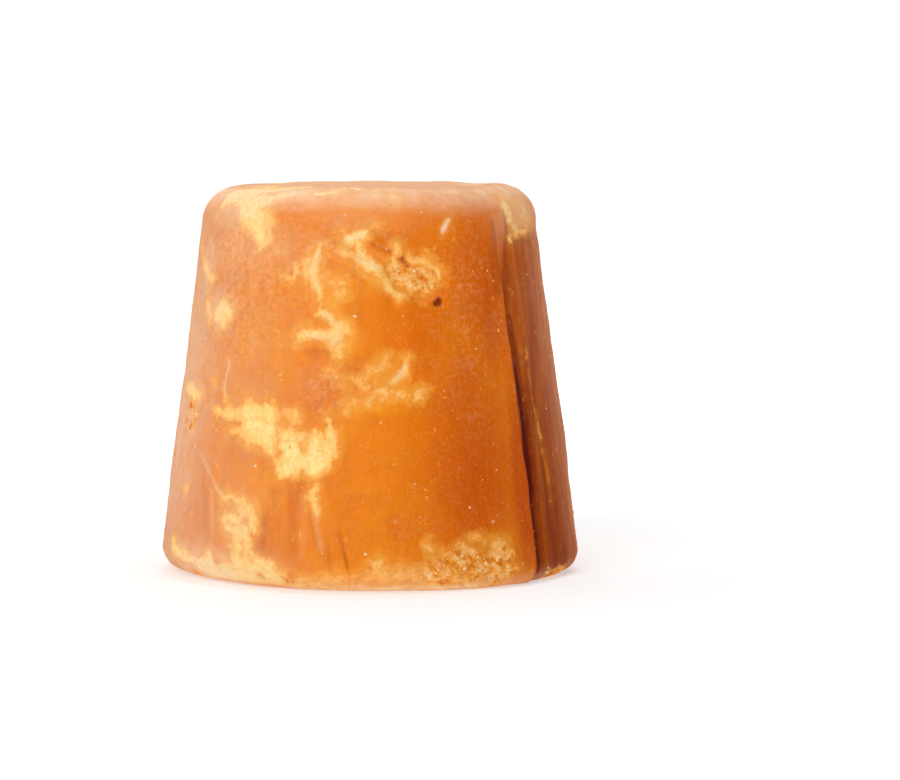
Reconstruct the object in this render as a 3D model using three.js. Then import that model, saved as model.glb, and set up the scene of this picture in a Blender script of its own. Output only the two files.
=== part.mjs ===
// A one-kilogram block of jaggery: raw cane sugar poured into a bucket mould lined with cloth, and turned
// out with the wide end down. It is one solid, a little out of round, with a broad round shoulder, a worn
// base edge, the folds of the cloth pressed into its side, and hollows where the dense skin is missing and
// the pale, crumbly sugar shows.
//
// Millimetres, +Z up. The origin is the middle of the flat base. An angle is measured round the block from
// -Y, the side with the largest pale patches, towards +X, in degrees.

import * as THREE from "three";
import { mergeVertices } from "three/addons/utils/BufferGeometryUtils.js";

// The block's form.
const BLOCK_HEIGHT = 97.5;
const BASE_RADIUS = 53.5; // where the side's straight line meets the plane of the base
const TOP_RADIUS = 40.9; // where it meets the plane of the top
const EDGE_ROUND = 5; // round of the base edge that the outline is drawn with, before wear
const SHOULDER_ROUND = 9.4; // round of the top edge
const CROWN = 0.4; // how far the middle of the top stands above the top plane

// Steps of the surface.
const COLUMNS = 112;
const EDGE_STEPS = 6;
const SIDE_STEPS = 32;
const SHOULDER_STEPS = 7;
const CROWN_STEPS = 5;

// The side isn't quite round: its long swells and its shorter ones, as [length of the swell, height].
const SWELLS = [
  [50, 0.4],
  [18, 0.16],
];

// The base edge is worn to a different round from place to place, here every 30 degrees from -Y towards +X.
const WORN_ROUNDS = [8.8, 5, 4.5, 6, 8, 9, 6.5, 5, 5.5, 7.2, 10.4, 8.6];
const CRUMBLE = 0.5; // how far its round also varies over a short way
const CRUMBLE_LENGTH = 14;

// Folds of the cloth. Past a fold the side drops, on the side that `way` gives, and comes back slowly.
// `base` and `top` are the angles where the fold meets the base and the shoulder, `depth` is its depth at
// the base, and `upper` the share of that depth left at the shoulder.
const FOLDS = [
  { base: 52, top: 46.5, way: 1, depth: 2.9, upper: 0.35, back: 11 },
  { base: 62, top: 57, way: 1, depth: 0.9, upper: 0.5, back: 5 },
  { base: 128, top: 121, way: -1, depth: 1.5, upper: 0.1, back: 9 },
  { base: 203, top: 212, way: 1, depth: 2.1, upper: 0.25, back: 12 },
  { base: 214, top: 219, way: 1, depth: 0.8, upper: 0.3, back: 5 },
  { base: 291, top: 286, way: -1, depth: 1.2, upper: 0, back: 8 },
];
const FOLD_DROP = 1.5; // width over which the surface drops at a fold
const FOLD_LIP = 0.12; // how far the near edge of a fold stands up, as a share of its depth
const FOLD_END = 9; // distance below the top plane over which a fold runs out

// Hollows in the side, as [angle, height, length, width, tilt from the horizontal, depth].
const HOLLOWS = [
  [-40, 89, 15, 9, -50, 0.35], // smear over the left of the shoulder
  [1, 81.5, 15, 4, -32, 0.8], // channel below the lobe under the shoulder
  [14.5, 75.5, 16, 10, -12, 1.2], // crumbly scoop at the channel's end
  [-15, 78, 15, 3.5, 93, 0.45], // left arm of the ring beside it
  [-9.5, 63.5, 10, 7, -55, 0.55], // star below the ring
  [5, 50.5, 15, 9, 0, 0.5], // leaf-shaped patch in the middle
  [-38.5, 41.5, 18, 9, -14, 0.6], // left lobe of the large patch
  [-26.5, 33.5, 11, 9, 90, 0.7], // its middle lobe
  [-17.5, 35, 13, 8, 85, 0.65], // its right lobe
  [-57, 69, 9, 7, 90, 0.4], // small patch near the left edge
  [-35.5, 15, 13, 7, 80, 0.8], // hooked patch above the base
  [-40, 3, 36, 7, -5, 0.9], // crumbled base edge, left
  [27, 5.5, 27, 10, 8, 0.9], // crumbled base edge, right
];

// Where the skin stands up, in the same form, with its height last.
const FLAKES = [
  [71, 94, 23, 15, -15, 0.75], // flake on the right of the shoulder, broken off along its lower edge
];
const MARK_EDGE = 0.3; // share of the half-width of a hollow or flake over which its wall slopes
const RAGGED = [ // its edge wanders, as [length of the wandering, how far]
  [9, 0.9],
  [4, 0.5],
];

// Hollows on the sides that face away, drawn at random in clusters. A pair is the least and the greatest.
const CLUSTERS = 7;
const CLUSTER_SIZE = 4;
const CLUSTER_ANGLES = [95, 275];
const CLUSTER_HEIGHTS = [8, 86];
const CLUSTER_SPREAD_ANGLE = 9; // how far a hollow lies from the cluster's middle, at most
const CLUSTER_SPREAD_HEIGHT = 8;
const CLUSTER_SPREAD_TILT = 35;
const DRAWN_LENGTHS = [6, 16];
const DRAWN_WIDTHS = [3, 8];
const DRAWN_DEPTHS = [0.4, 0.9];
const RANDOM_SEED = 41;

// Noise is a sum of plane waves. A seed turns and shifts them, so that layers don't repeat each other.
const WAVES = 8;
const GOLDEN_ANGLE = Math.PI * (3 - Math.sqrt(5));
const SHORTEST_WAVE = 0.8; // share of the noise's length
const LONGER_BY = 0.06; // by which share each wave is longer than the one before
const SWELL_SEED = 0;
const RAGGED_SEED = 5;
const CRUMBLE_SEED = 7;

const TAPER = (BASE_RADIUS - TOP_RADIUS) / BLOCK_HEIGHT;
const LEAN = Math.atan(TAPER); // how far the side leans in
const REACH_IN = 7; // a hollow or flake acts on the surface this near to the plane it is laid on
const SHOULDER = new THREE.Vector2( // centre of the shoulder's arc
  TOP_RADIUS - SHOULDER_ROUND * Math.tan((Math.PI / 2 - LEAN) / 2),
  BLOCK_HEIGHT - SHOULDER_ROUND,
);

const radians = THREE.MathUtils.degToRad;
const smoothstep = THREE.MathUtils.smoothstep;

// A seeded draw between two values, by a linear congruential rule.
let drawn = RANDOM_SEED;
function draw([least, greatest]) {
  drawn = (drawn * 1664525 + 1013904223) % 2 ** 32;
  return THREE.MathUtils.lerp(least, greatest, drawn / 2 ** 32);
}

// Smooth noise from about -1 to 1: plane waves of nearly one length, in directions spread over a sphere.
function noise(point, length, seed) {
  let sum = 0;
  for (let k = 0; k < WAVES; k++) {
    const up = 1 - (2 * k + 1) / WAVES;
    const across = Math.sqrt(1 - up * up);
    const turn = GOLDEN_ANGLE * (k + seed);
    const along = across * (point.x * Math.cos(turn) + point.y * Math.sin(turn)) + point.z * up;
    const wave = length * (SHORTEST_WAVE + LONGER_BY * k);
    sum += Math.sin((2 * Math.PI * along) / wave + 1.7 * k * k + 2.3 * seed);
  }
  return sum / Math.sqrt(2 * WAVES);
}

// The outline that is turned about the axis, from the middle of the base to the middle of the top, as
// [distance from the axis, height]. Both edges are arcs that run into the leaning side.
function outline() {
  const edgeSet = EDGE_ROUND * Math.tan((Math.PI / 2 + LEAN) / 2);
  const edge = new THREE.Vector2(BASE_RADIUS - edgeSet, EDGE_ROUND);
  const arc = (centre, round, from, to, steps) =>
    Array.from({ length: steps + 1 }, (_, i) => {
      const turn = from + ((to - from) * i) / steps;
      return new THREE.Vector2(centre.x + round * Math.cos(turn), centre.y + round * Math.sin(turn));
    });
  const edgeArc = arc(edge, EDGE_ROUND, -Math.PI / 2, LEAN, EDGE_STEPS);
  const shoulderArc = arc(SHOULDER, SHOULDER_ROUND, LEAN, Math.PI / 2, SHOULDER_STEPS);
  const side = new THREE.LineCurve(edgeArc.at(-1), shoulderArc[0]).getPoints(SIDE_STEPS).slice(1, -1);
  const crown = Array.from({ length: CROWN_STEPS }, (_, i) => {
    const out = 1 - (i + 1) / CROWN_STEPS;
    return new THREE.Vector2(SHOULDER.x * out, BLOCK_HEIGHT + CROWN * (1 - out * out));
  });
  return [new THREE.Vector2(0, 0), ...edgeArc, ...side, ...shoulderArc, ...crown];
}

// The way that relief pushes a point of the outline: straight out on the base and its edge, so that the
// base stays flat, along the side's own normal above that, and turning up over the shoulder.
function pushAt(radius, height) {
  if (height < EDGE_ROUND) return new THREE.Vector2(1, 0);
  if (radius < SHOULDER.x) return new THREE.Vector2(0, 1);
  const turn = Math.max(LEAN, Math.atan2(height - SHOULDER.y, radius - SHOULDER.x));
  return new THREE.Vector2(Math.cos(turn), Math.sin(turn));
}

// A hollow or flake laid on the leaning side: its middle, and its own long, short and outward directions.
function laidOnSide([angle, height, length, width, tilt, depth]) {
  const a = radians(angle);
  const radius = BASE_RADIUS - TAPER * height;
  const centre = new THREE.Vector3(radius * Math.sin(a), -radius * Math.cos(a), height);
  const out = new THREE.Vector3(
    Math.cos(LEAN) * Math.sin(a),
    -Math.cos(LEAN) * Math.cos(a),
    Math.sin(LEAN),
  );
  const round = new THREE.Vector3(Math.cos(a), Math.sin(a), 0);
  const up = new THREE.Vector3().crossVectors(out, round);
  const t = radians(tilt);
  const long = round.clone().multiplyScalar(Math.cos(t)).addScaledVector(up, Math.sin(t));
  const short = new THREE.Vector3().crossVectors(out, long);
  return { centre, out, long, short, length, width, depth };
}

// Clusters of overlapping hollows for the sides that face away. Each cluster keeps to its own sector.
function drawnHollows() {
  const hollows = [];
  const sector = (CLUSTER_ANGLES[1] - CLUSTER_ANGLES[0]) / CLUSTERS;
  for (let c = 0; c < CLUSTERS; c++) {
    const angle = CLUSTER_ANGLES[0] + sector * draw([c, c + 0.6]);
    const height = draw(CLUSTER_HEIGHTS);
    const heading = draw([0, 180]);
    for (let i = 0; i < CLUSTER_SIZE; i++) {
      hollows.push([
        draw([angle - CLUSTER_SPREAD_ANGLE, angle + CLUSTER_SPREAD_ANGLE]),
        draw([height - CLUSTER_SPREAD_HEIGHT, height + CLUSTER_SPREAD_HEIGHT]),
        draw(DRAWN_LENGTHS),
        draw(DRAWN_WIDTHS),
        draw([heading - CLUSTER_SPREAD_TILT, heading + CLUSTER_SPREAD_TILT]),
        draw(DRAWN_DEPTHS),
      ]);
    }
  }
  return hollows;
}

const laidHollows = [...HOLLOWS, ...drawnHollows()].map(laidOnSide);
const laidFlakes = FLAKES.map(laidOnSide);

// Layers of noise added up at a point, each as [length, height].
function layers(point, list, seed) {
  return list.reduce((sum, [length, high], i) => sum + high * noise(point, length, seed + i), 0);
}

// The depth of the deepest hollow, or the height of the highest flake, at a point. An edge is ragged
// because the point is shifted a little by noise.
function mostAt(point, laid) {
  const ragged = point.clone().addScalar(layers(point, RAGGED, RAGGED_SEED));
  let depth = 0;
  for (const h of laid) {
    const from = ragged.clone().sub(h.centre);
    const off = Math.hypot(from.dot(h.long) / (h.length / 2), from.dot(h.short) / (h.width / 2));
    const inside = 1 - smoothstep(off, 1 - MARK_EDGE, 1 + MARK_EDGE);
    const near = 1 - smoothstep(Math.abs(from.dot(h.out)), REACH_IN, REACH_IN + 3);
    depth = Math.max(depth, h.depth * inside * near);
  }
  return depth;
}

// Height of the folds at a point of the side, which is negative where the side drops.
function foldAt(angle, radius, height) {
  const up = THREE.MathUtils.clamp(height / (BLOCK_HEIGHT - SHOULDER_ROUND), 0, 1);
  const end = 1 - smoothstep(height, BLOCK_HEIGHT - 2 * FOLD_END, BLOCK_HEIGHT - FOLD_END / 3);
  let sum = 0;
  for (const fold of FOLDS) {
    const line = fold.base + (fold.top - fold.base) * up * up;
    const gap = THREE.MathUtils.euclideanModulo(angle - line + 180, 360) - 180;
    const past = fold.way * radius * radians(gap);
    const depth = fold.depth * (1 + (fold.upper - 1) * up) * end;
    const drop = smoothstep(past, 0, FOLD_DROP) * Math.exp(-Math.max(past, 0) / fold.back);
    const lip = FOLD_LIP * Math.exp(-((past / FOLD_DROP) ** 2));
    sum += depth * (lip - drop);
  }
  return sum;
}

// How far an edge of a given round lies inside the sharp edge, at a height above the base.
function insideSharp(round, height) {
  const below = THREE.MathUtils.clamp(round - height, 0, round);
  return round - Math.sqrt(round * round - below * below);
}

// How far the base edge is worn back from the outline's own round at a point.
function wearAt(point, angle, height) {
  const turn = (THREE.MathUtils.euclideanModulo(angle, 360) / 360) * WORN_ROUNDS.length;
  const step = Math.floor(turn);
  const next = WORN_ROUNDS[(step + 1) % WORN_ROUNDS.length];
  const round = THREE.MathUtils.lerp(WORN_ROUNDS[step], next, smoothstep(turn - step, 0, 1));
  const crumbled = round + CRUMBLE * noise(point, CRUMBLE_LENGTH, CRUMBLE_SEED);
  return insideSharp(crumbled, height) - insideSharp(EDGE_ROUND, height);
}

// How far the surface stands out from the turned outline at a point.
function reliefAt(point, angle, radius, height) {
  const swollen = layers(point, SWELLS, SWELL_SEED) + foldAt(angle, radius, height);
  return swollen + mostAt(point, laidFlakes) - mostAt(point, laidHollows) - wearAt(point, angle, height);
}

// LatheGeometry turns the outline about Y; it is stood up on Z, and each point is then pushed by the relief.
function blockGeometry() {
  const turned = new THREE.LatheGeometry(outline(), COLUMNS);
  turned.rotateX(Math.PI / 2);
  turned.deleteAttribute("normal");
  turned.deleteAttribute("uv");
  const geometry = mergeVertices(turned, 1e-4);
  const places = geometry.getAttribute("position");
  const point = new THREE.Vector3();
  for (let i = 0; i < places.count; i++) {
    point.fromBufferAttribute(places, i);
    const radius = Math.hypot(point.x, point.y);
    if (radius === 0) continue;
    const angle = THREE.MathUtils.radToDeg(Math.atan2(point.x, -point.y));
    const relief = reliefAt(point, angle, radius, point.z);
    const push = pushAt(radius, point.z);
    const outward = 1 + (relief * push.x) / radius;
    places.setXYZ(i, point.x * outward, point.y * outward, point.z + relief * push.y);
  }
  return geometry;
}

const block = new THREE.Mesh(
  blockGeometry(),
  new THREE.MeshStandardMaterial({ color: 0xd9791f, roughness: 0.5, metalness: 0 }),
);
block.name = "jaggery_block";

const model = new THREE.Group();
model.add(block);
export default model;
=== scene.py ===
# %% [markdown]
# # A block of jaggery
# Jaggery is cane juice boiled down until it sets, poured into a bucket lined with cloth and turned out.
# The block stands on its wide end. Dense sugar makes an amber skin that light sinks into a little; where
# that skin tore away with the cloth, dry pale sugar shows, matt and crumbly. The work here is in four
# steps: the block's true form, fields stored on its mesh that say what shows where, the material that
# reads those fields, and loose crumbs.

# %% Load the frame
import math

import bmesh
import bpy
import numpy as np
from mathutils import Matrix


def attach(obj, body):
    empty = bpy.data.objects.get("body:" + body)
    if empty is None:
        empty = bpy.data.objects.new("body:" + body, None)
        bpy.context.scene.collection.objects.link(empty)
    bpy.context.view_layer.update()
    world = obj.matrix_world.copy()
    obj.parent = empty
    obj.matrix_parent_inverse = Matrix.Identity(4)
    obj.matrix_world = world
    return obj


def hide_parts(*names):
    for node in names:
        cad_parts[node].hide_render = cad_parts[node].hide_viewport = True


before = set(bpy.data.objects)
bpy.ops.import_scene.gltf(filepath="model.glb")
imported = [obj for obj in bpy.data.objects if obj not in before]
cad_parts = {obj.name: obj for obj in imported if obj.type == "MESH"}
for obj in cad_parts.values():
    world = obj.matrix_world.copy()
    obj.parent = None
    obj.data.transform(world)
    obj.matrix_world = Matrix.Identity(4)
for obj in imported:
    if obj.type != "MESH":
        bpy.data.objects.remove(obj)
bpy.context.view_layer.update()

# %% [markdown]
# ## The form
# The real block is a solid of revolution that was pushed about: a cone's side, a round shoulder, a worn
# base edge. So it is made as one grid of points, angle by height, turned from an outline and then pushed
# by relief. Sizes are millimetres, and an angle is measured round the block from -Y towards +X, in degrees.

# %% Sizes of the block
BLOCK_HEIGHT = 97.5
BASE_RADIUS = 53.5
TOP_RADIUS = 40.9
EDGE_ROUND = 5.0
SHOULDER_ROUND = 9.4
CROWN = 0.4
TAPER = (BASE_RADIUS - TOP_RADIUS) / BLOCK_HEIGHT
LEAN = math.atan(TAPER)
SHOULDER_RADIUS = TOP_RADIUS - SHOULDER_ROUND * math.tan((math.pi / 2 - LEAN) / 2)
SHOULDER_HEIGHT = BLOCK_HEIGHT - SHOULDER_ROUND

SWELLS = [(50, 0.4), (18, 0.16)]
WORN_ROUNDS = [8.8, 5, 4.5, 6, 8, 9, 6.5, 5, 5.5, 7.2, 10.4, 8.6]
CRUMBLE = 0.5
CRUMBLE_LENGTH = 14

FOLDS = [
    dict(base=52, top=46.5, way=1, depth=2.9, upper=0.35, back=11, syrup_and_shade=1),
    dict(base=62, top=57, way=1, depth=0.9, upper=0.5, back=5, syrup_and_shade=1),
    dict(base=128, top=121, way=-1, depth=1.5, upper=0.1, back=9, syrup_and_shade=1),
    dict(base=203, top=212, way=1, depth=2.1, upper=0.25, back=12, syrup_and_shade=1),
    dict(base=214, top=219, way=1, depth=0.8, upper=0.3, back=5, syrup_and_shade=1),
    dict(base=291, top=286, way=-1, depth=1.2, upper=0, back=8, syrup_and_shade=0.3),
]
FOLD_DROP = 1.5
FOLD_LIP = 0.12
FOLD_END = 9

HOLLOWS = [
    (-40, 89, 15, 9, -50, 0.35),
    (1, 81.5, 15, 4, -32, 0.8),
    (14.5, 75.5, 16, 10, -12, 1.2),
    (-15, 78, 15, 3.5, 93, 0.45),
    (-9.5, 63.5, 10, 7, -55, 0.55),
    (5, 50.5, 15, 9, 0, 0.5),
    (-38.5, 41.5, 18, 9, -14, 0.6),
    (-26.5, 33.5, 11, 9, 90, 0.7),
    (-17.5, 35, 13, 8, 85, 0.65),
    (-57, 69, 9, 7, 90, 0.4),
    (-35.5, 15, 13, 7, 80, 0.8),
    (-40, 3, 36, 7, -5, 0.9),
    (27, 5.5, 27, 10, 8, 0.9),
]
FLAKES = [(71, 94, 23, 15, -15, 0.75)]
MARK_EDGE = 0.3
RAGGED = [(9, 0.9), (4, 0.5)]
REACH_IN = 7
REACH_FADE = 3

CLUSTERS = 7
CLUSTER_SIZE = 4
CLUSTER_ANGLES = (95, 275)
CLUSTER_HEIGHTS = (8, 86)
CLUSTER_SPREAD_ANGLE = 9
CLUSTER_SPREAD_HEIGHT = 8
CLUSTER_SPREAD_TILT = 35
DRAWN_LENGTHS = (6, 16)
DRAWN_WIDTHS = (3, 8)
DRAWN_DEPTHS = (0.4, 0.9)
RANDOM_SEED = 41

SWELL_SEED = 0
RAGGED_SEED = 5
CRUMBLE_SEED = 7

# %% [markdown]
# ### Noise that is the same everywhere
# Plane waves of nearly one length, in directions spread over a sphere, add up to smooth lumps. It needs
# no tables and no random numbers, so the solid and this finer surface get the very same swells.

# %% Noise
WAVES = 8
GOLDEN_ANGLE = math.pi * (3 - math.sqrt(5))
SHORTEST_WAVE = 0.8
LONGER_BY = 0.06
WAVE_PHASE, SEED_PHASE = 1.7, 2.3


def noise(point, length, seed):
    """The sum, over the waves, of the sine of the distance along the wave's direction divided by its
    length."""
    total = 0
    for k in range(WAVES):
        up = 1 - (2 * k + 1) / WAVES
        across = math.sqrt(1 - up * up)
        turn = GOLDEN_ANGLE * (k + seed)
        level = point[..., 0] * math.cos(turn) + point[..., 1] * math.sin(turn)
        along = across * level + point[..., 2] * up
        wave = length * (SHORTEST_WAVE + LONGER_BY * k)
        total = total + np.sin(2 * math.pi * along / wave + WAVE_PHASE * k * k + SEED_PHASE * seed)
    return total / math.sqrt(2 * WAVES)


def layers(point, pairs, seed):
    """Layers of noise added up, each as (length, height)."""
    return sum(high * noise(point, length, seed + i) for i, (length, high) in enumerate(pairs))


def smoothstep(value, low, high):
    """0 below low, 1 above high, and a smooth rise between: t squared times (3 - 2t)."""
    t = np.clip((value - low) / (high - low), 0, 1)
    return t * t * (3 - 2 * t)


# %% [markdown]
# ### The grid
# Rows run from the base's edge over the side and the shoulder to the crown, half a millimetre apart, so that
# a small ledge still has a shape of its own. Columns lie closer together at the front, where the skin shows
# its finest marks: the even angle is drawn towards 0 by a sine.

# %% Rows and columns
COLUMNS = 440
FRONT_CLOSER = 0.33
EDGE_ROWS = 14
SIDE_ROWS = 160
SHOULDER_ROWS = 22
CROWN_ROWS = 12
BASE_RINGS = (0.35, 0.7)


def arc(radius, height, round_, start, end, steps):
    """Points at a fixed distance from a centre, as the turn goes from start to end."""
    turn = np.linspace(start, end, steps + 1)
    return np.stack([radius + round_ * np.cos(turn), height + round_ * np.sin(turn)], axis=1)


edge_set = EDGE_ROUND * math.tan((math.pi / 2 + LEAN) / 2)
edge_arc = arc(BASE_RADIUS - edge_set, EDGE_ROUND, EDGE_ROUND, -math.pi / 2, LEAN, EDGE_ROWS)
shoulder_arc = arc(SHOULDER_RADIUS, SHOULDER_HEIGHT, SHOULDER_ROUND, LEAN, math.pi / 2, SHOULDER_ROWS)
share = np.linspace(0, 1, SIDE_ROWS + 1)[1:-1, None]
side = edge_arc[-1] * (1 - share) + shoulder_arc[0] * share
out = 1 - np.arange(1, CROWN_ROWS) / CROWN_ROWS
crown = np.stack([SHOULDER_RADIUS * out, BLOCK_HEIGHT + CROWN * (1 - out * out)], axis=1)
outline = np.concatenate([edge_arc, side, shoulder_arc, crown])

even = np.arange(COLUMNS) * 360 / COLUMNS - 180
closer = even - math.degrees(FRONT_CLOSER) * np.sin(np.radians(even))
angle = np.broadcast_to(closer, (len(outline), COLUMNS))
radius = np.broadcast_to(outline[:, :1], angle.shape)
height = np.broadcast_to(outline[:, 1:], angle.shape)


def place(angle, radius, height):
    """A point at an angle from -Y towards +X, a distance from the axis and a height."""
    turn = np.radians(angle)
    return np.stack([radius * np.sin(turn), -radius * np.cos(turn), height], axis=-1)


point = place(angle, radius, height)
run = np.concatenate([[0], np.cumsum(np.hypot(*np.diff(outline, axis=0).T))])
along = np.broadcast_to(run[:, None], angle.shape)
print("grid", angle.shape, "points, outline", run[-1].round(1), "mm long")

# %% [markdown]
# ### Marks laid on the side
# A hollow, a patch and a speck are all ellipses lying on the leaning side, each with its own long and
# short directions. One function measures how far every point of the grid lies inside such an ellipse.

# %% Ellipses on the side


def inside_marks(point, marks):
    """For each (angle, height, length, width, tilt, ...) mark: the distance of each point from its middle,
    as a share of its half-length and half-width, and how near the point lies to the plane that the mark is
    laid on."""
    for mark in marks:
        at, up, length, width, tilt = mark[:5]
        a, t = math.radians(at), math.radians(tilt)
        middle = place(at, BASE_RADIUS - TAPER * up, up)
        outward = np.array([math.cos(LEAN) * math.sin(a), -math.cos(LEAN) * math.cos(a), math.sin(LEAN)])
        around = np.array([math.cos(a), math.sin(a), 0])
        long = around * math.cos(t) + np.cross(outward, around) * math.sin(t)
        short = np.cross(outward, long)
        offset = point - middle
        off = np.hypot(offset @ long / (length / 2), offset @ short / (width / 2))
        near = 1 - smoothstep(np.abs(offset @ outward), REACH_IN, REACH_IN + REACH_FADE)
        yield mark, off, near


# %% Hollows on the far sides
STATE_TIMES, STATE_PLUS, STATE_RANGE = 1664525, 1013904223, 2**32
SECTOR_SHARE = 0.6


def drawn_hollows():
    """Clusters of overlapping hollows, each cluster in its own sector, drawn at random from a seed."""
    state = RANDOM_SEED

    def draw(least, greatest):
        nonlocal state
        state = (state * STATE_TIMES + STATE_PLUS) % STATE_RANGE
        return least + (greatest - least) * state / STATE_RANGE

    hollows = []
    sector = (CLUSTER_ANGLES[1] - CLUSTER_ANGLES[0]) / CLUSTERS
    for c in range(CLUSTERS):
        middle = CLUSTER_ANGLES[0] + sector * draw(c, c + SECTOR_SHARE)
        level = draw(*CLUSTER_HEIGHTS)
        heading = draw(0, 180)
        for _ in range(CLUSTER_SIZE):
            hollows.append((
                draw(middle - CLUSTER_SPREAD_ANGLE, middle + CLUSTER_SPREAD_ANGLE),
                draw(level - CLUSTER_SPREAD_HEIGHT, level + CLUSTER_SPREAD_HEIGHT),
                draw(*DRAWN_LENGTHS),
                draw(*DRAWN_WIDTHS),
                draw(heading - CLUSTER_SPREAD_TILT, heading + CLUSTER_SPREAD_TILT),
                draw(*DRAWN_DEPTHS),
            ))
    return hollows


far_hollows = drawn_hollows()
print("hollows", len(HOLLOWS), "on the near side and", len(far_hollows), "drawn on the far sides")


def most_at(point, marks):
    """The deepest hollow, or the highest flake, at a point that noise has shifted, so that edges are
    ragged."""
    ragged = point + layers(point, RAGGED, RAGGED_SEED)[..., None]
    most = np.zeros(point.shape[:-1])
    for mark, off, near in inside_marks(ragged, marks):
        inside = 1 - smoothstep(off, 1 - MARK_EDGE, 1 + MARK_EDGE)
        most = np.maximum(most, mark[5] * inside * near)
    return most


# %% [markdown]
# ### Folds and the worn edge
# The cloth's folds leave a step that drops on one side and comes back slowly. The base edge was knocked
# to a different round from place to place.

# %% Folds and wear


def fold_past(fold, angle, radius, height):
    """How far past the fold's line a point lies, in millimetres round the block."""
    up = np.clip(height / SHOULDER_HEIGHT, 0, 1)
    line = fold["base"] + (fold["top"] - fold["base"]) * up * up
    gap = np.mod(angle - line + 180, 360) - 180
    return fold["way"] * radius * np.radians(gap), up


def fold_height(angle, radius, height):
    """For each fold: its depth times (a small lip at the line minus a drop past it that fades away)."""
    end = 1 - smoothstep(height, BLOCK_HEIGHT - 2 * FOLD_END, BLOCK_HEIGHT - FOLD_END / 3)
    total = 0
    for fold in FOLDS:
        past, up = fold_past(fold, angle, radius, height)
        depth = fold["depth"] * (1 + (fold["upper"] - 1) * up) * end
        drop = smoothstep(past, 0, FOLD_DROP) * np.exp(-np.maximum(past, 0) / fold["back"])
        total = total + depth * (FOLD_LIP * np.exp(-((past / FOLD_DROP) ** 2)) - drop)
    return total


def inside_sharp(round_, height):
    """How far an edge of a given round lies inside the sharp edge, at a height above the base."""
    below = np.clip(round_ - height, 0, round_)
    return round_ - np.sqrt(round_ * round_ - below * below)


def edge_wear(point, angle, height):
    """The difference between the worn round at this angle and the outline's own round."""
    turn = np.mod(angle, 360) / 360 * len(WORN_ROUNDS)
    step = np.floor(turn).astype(int)
    rounds = np.array(WORN_ROUNDS, float)
    share = smoothstep(turn - step, 0, 1)
    worn = rounds[step % len(rounds)] * (1 - share) + rounds[(step + 1) % len(rounds)] * share
    worn = worn + CRUMBLE * noise(point, CRUMBLE_LENGTH, CRUMBLE_SEED)
    return inside_sharp(worn, height) - inside_sharp(np.full_like(height, EDGE_ROUND), height)


relief = layers(point, SWELLS, SWELL_SEED) + fold_height(angle, radius, height)
relief = relief + most_at(point, FLAKES) - most_at(point, HOLLOWS + far_hollows)
relief = relief - edge_wear(point, angle, height)
print("relief of the solid, mm:", relief.min().round(2), "to", relief.max().round(2))

# %% [markdown]
# ## Where the pale sugar shows
# Every patch is built from a few strokes, as a painter would: a stroke runs through knots, its width changing
# evenly from knot to knot. Its reach is how far the pale sugar wins over the ragged noise that the material
# adds: 2 gives a solid patch, and 0.6 one that is half eaten away. Its depth is how far the floor is sunk.

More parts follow.
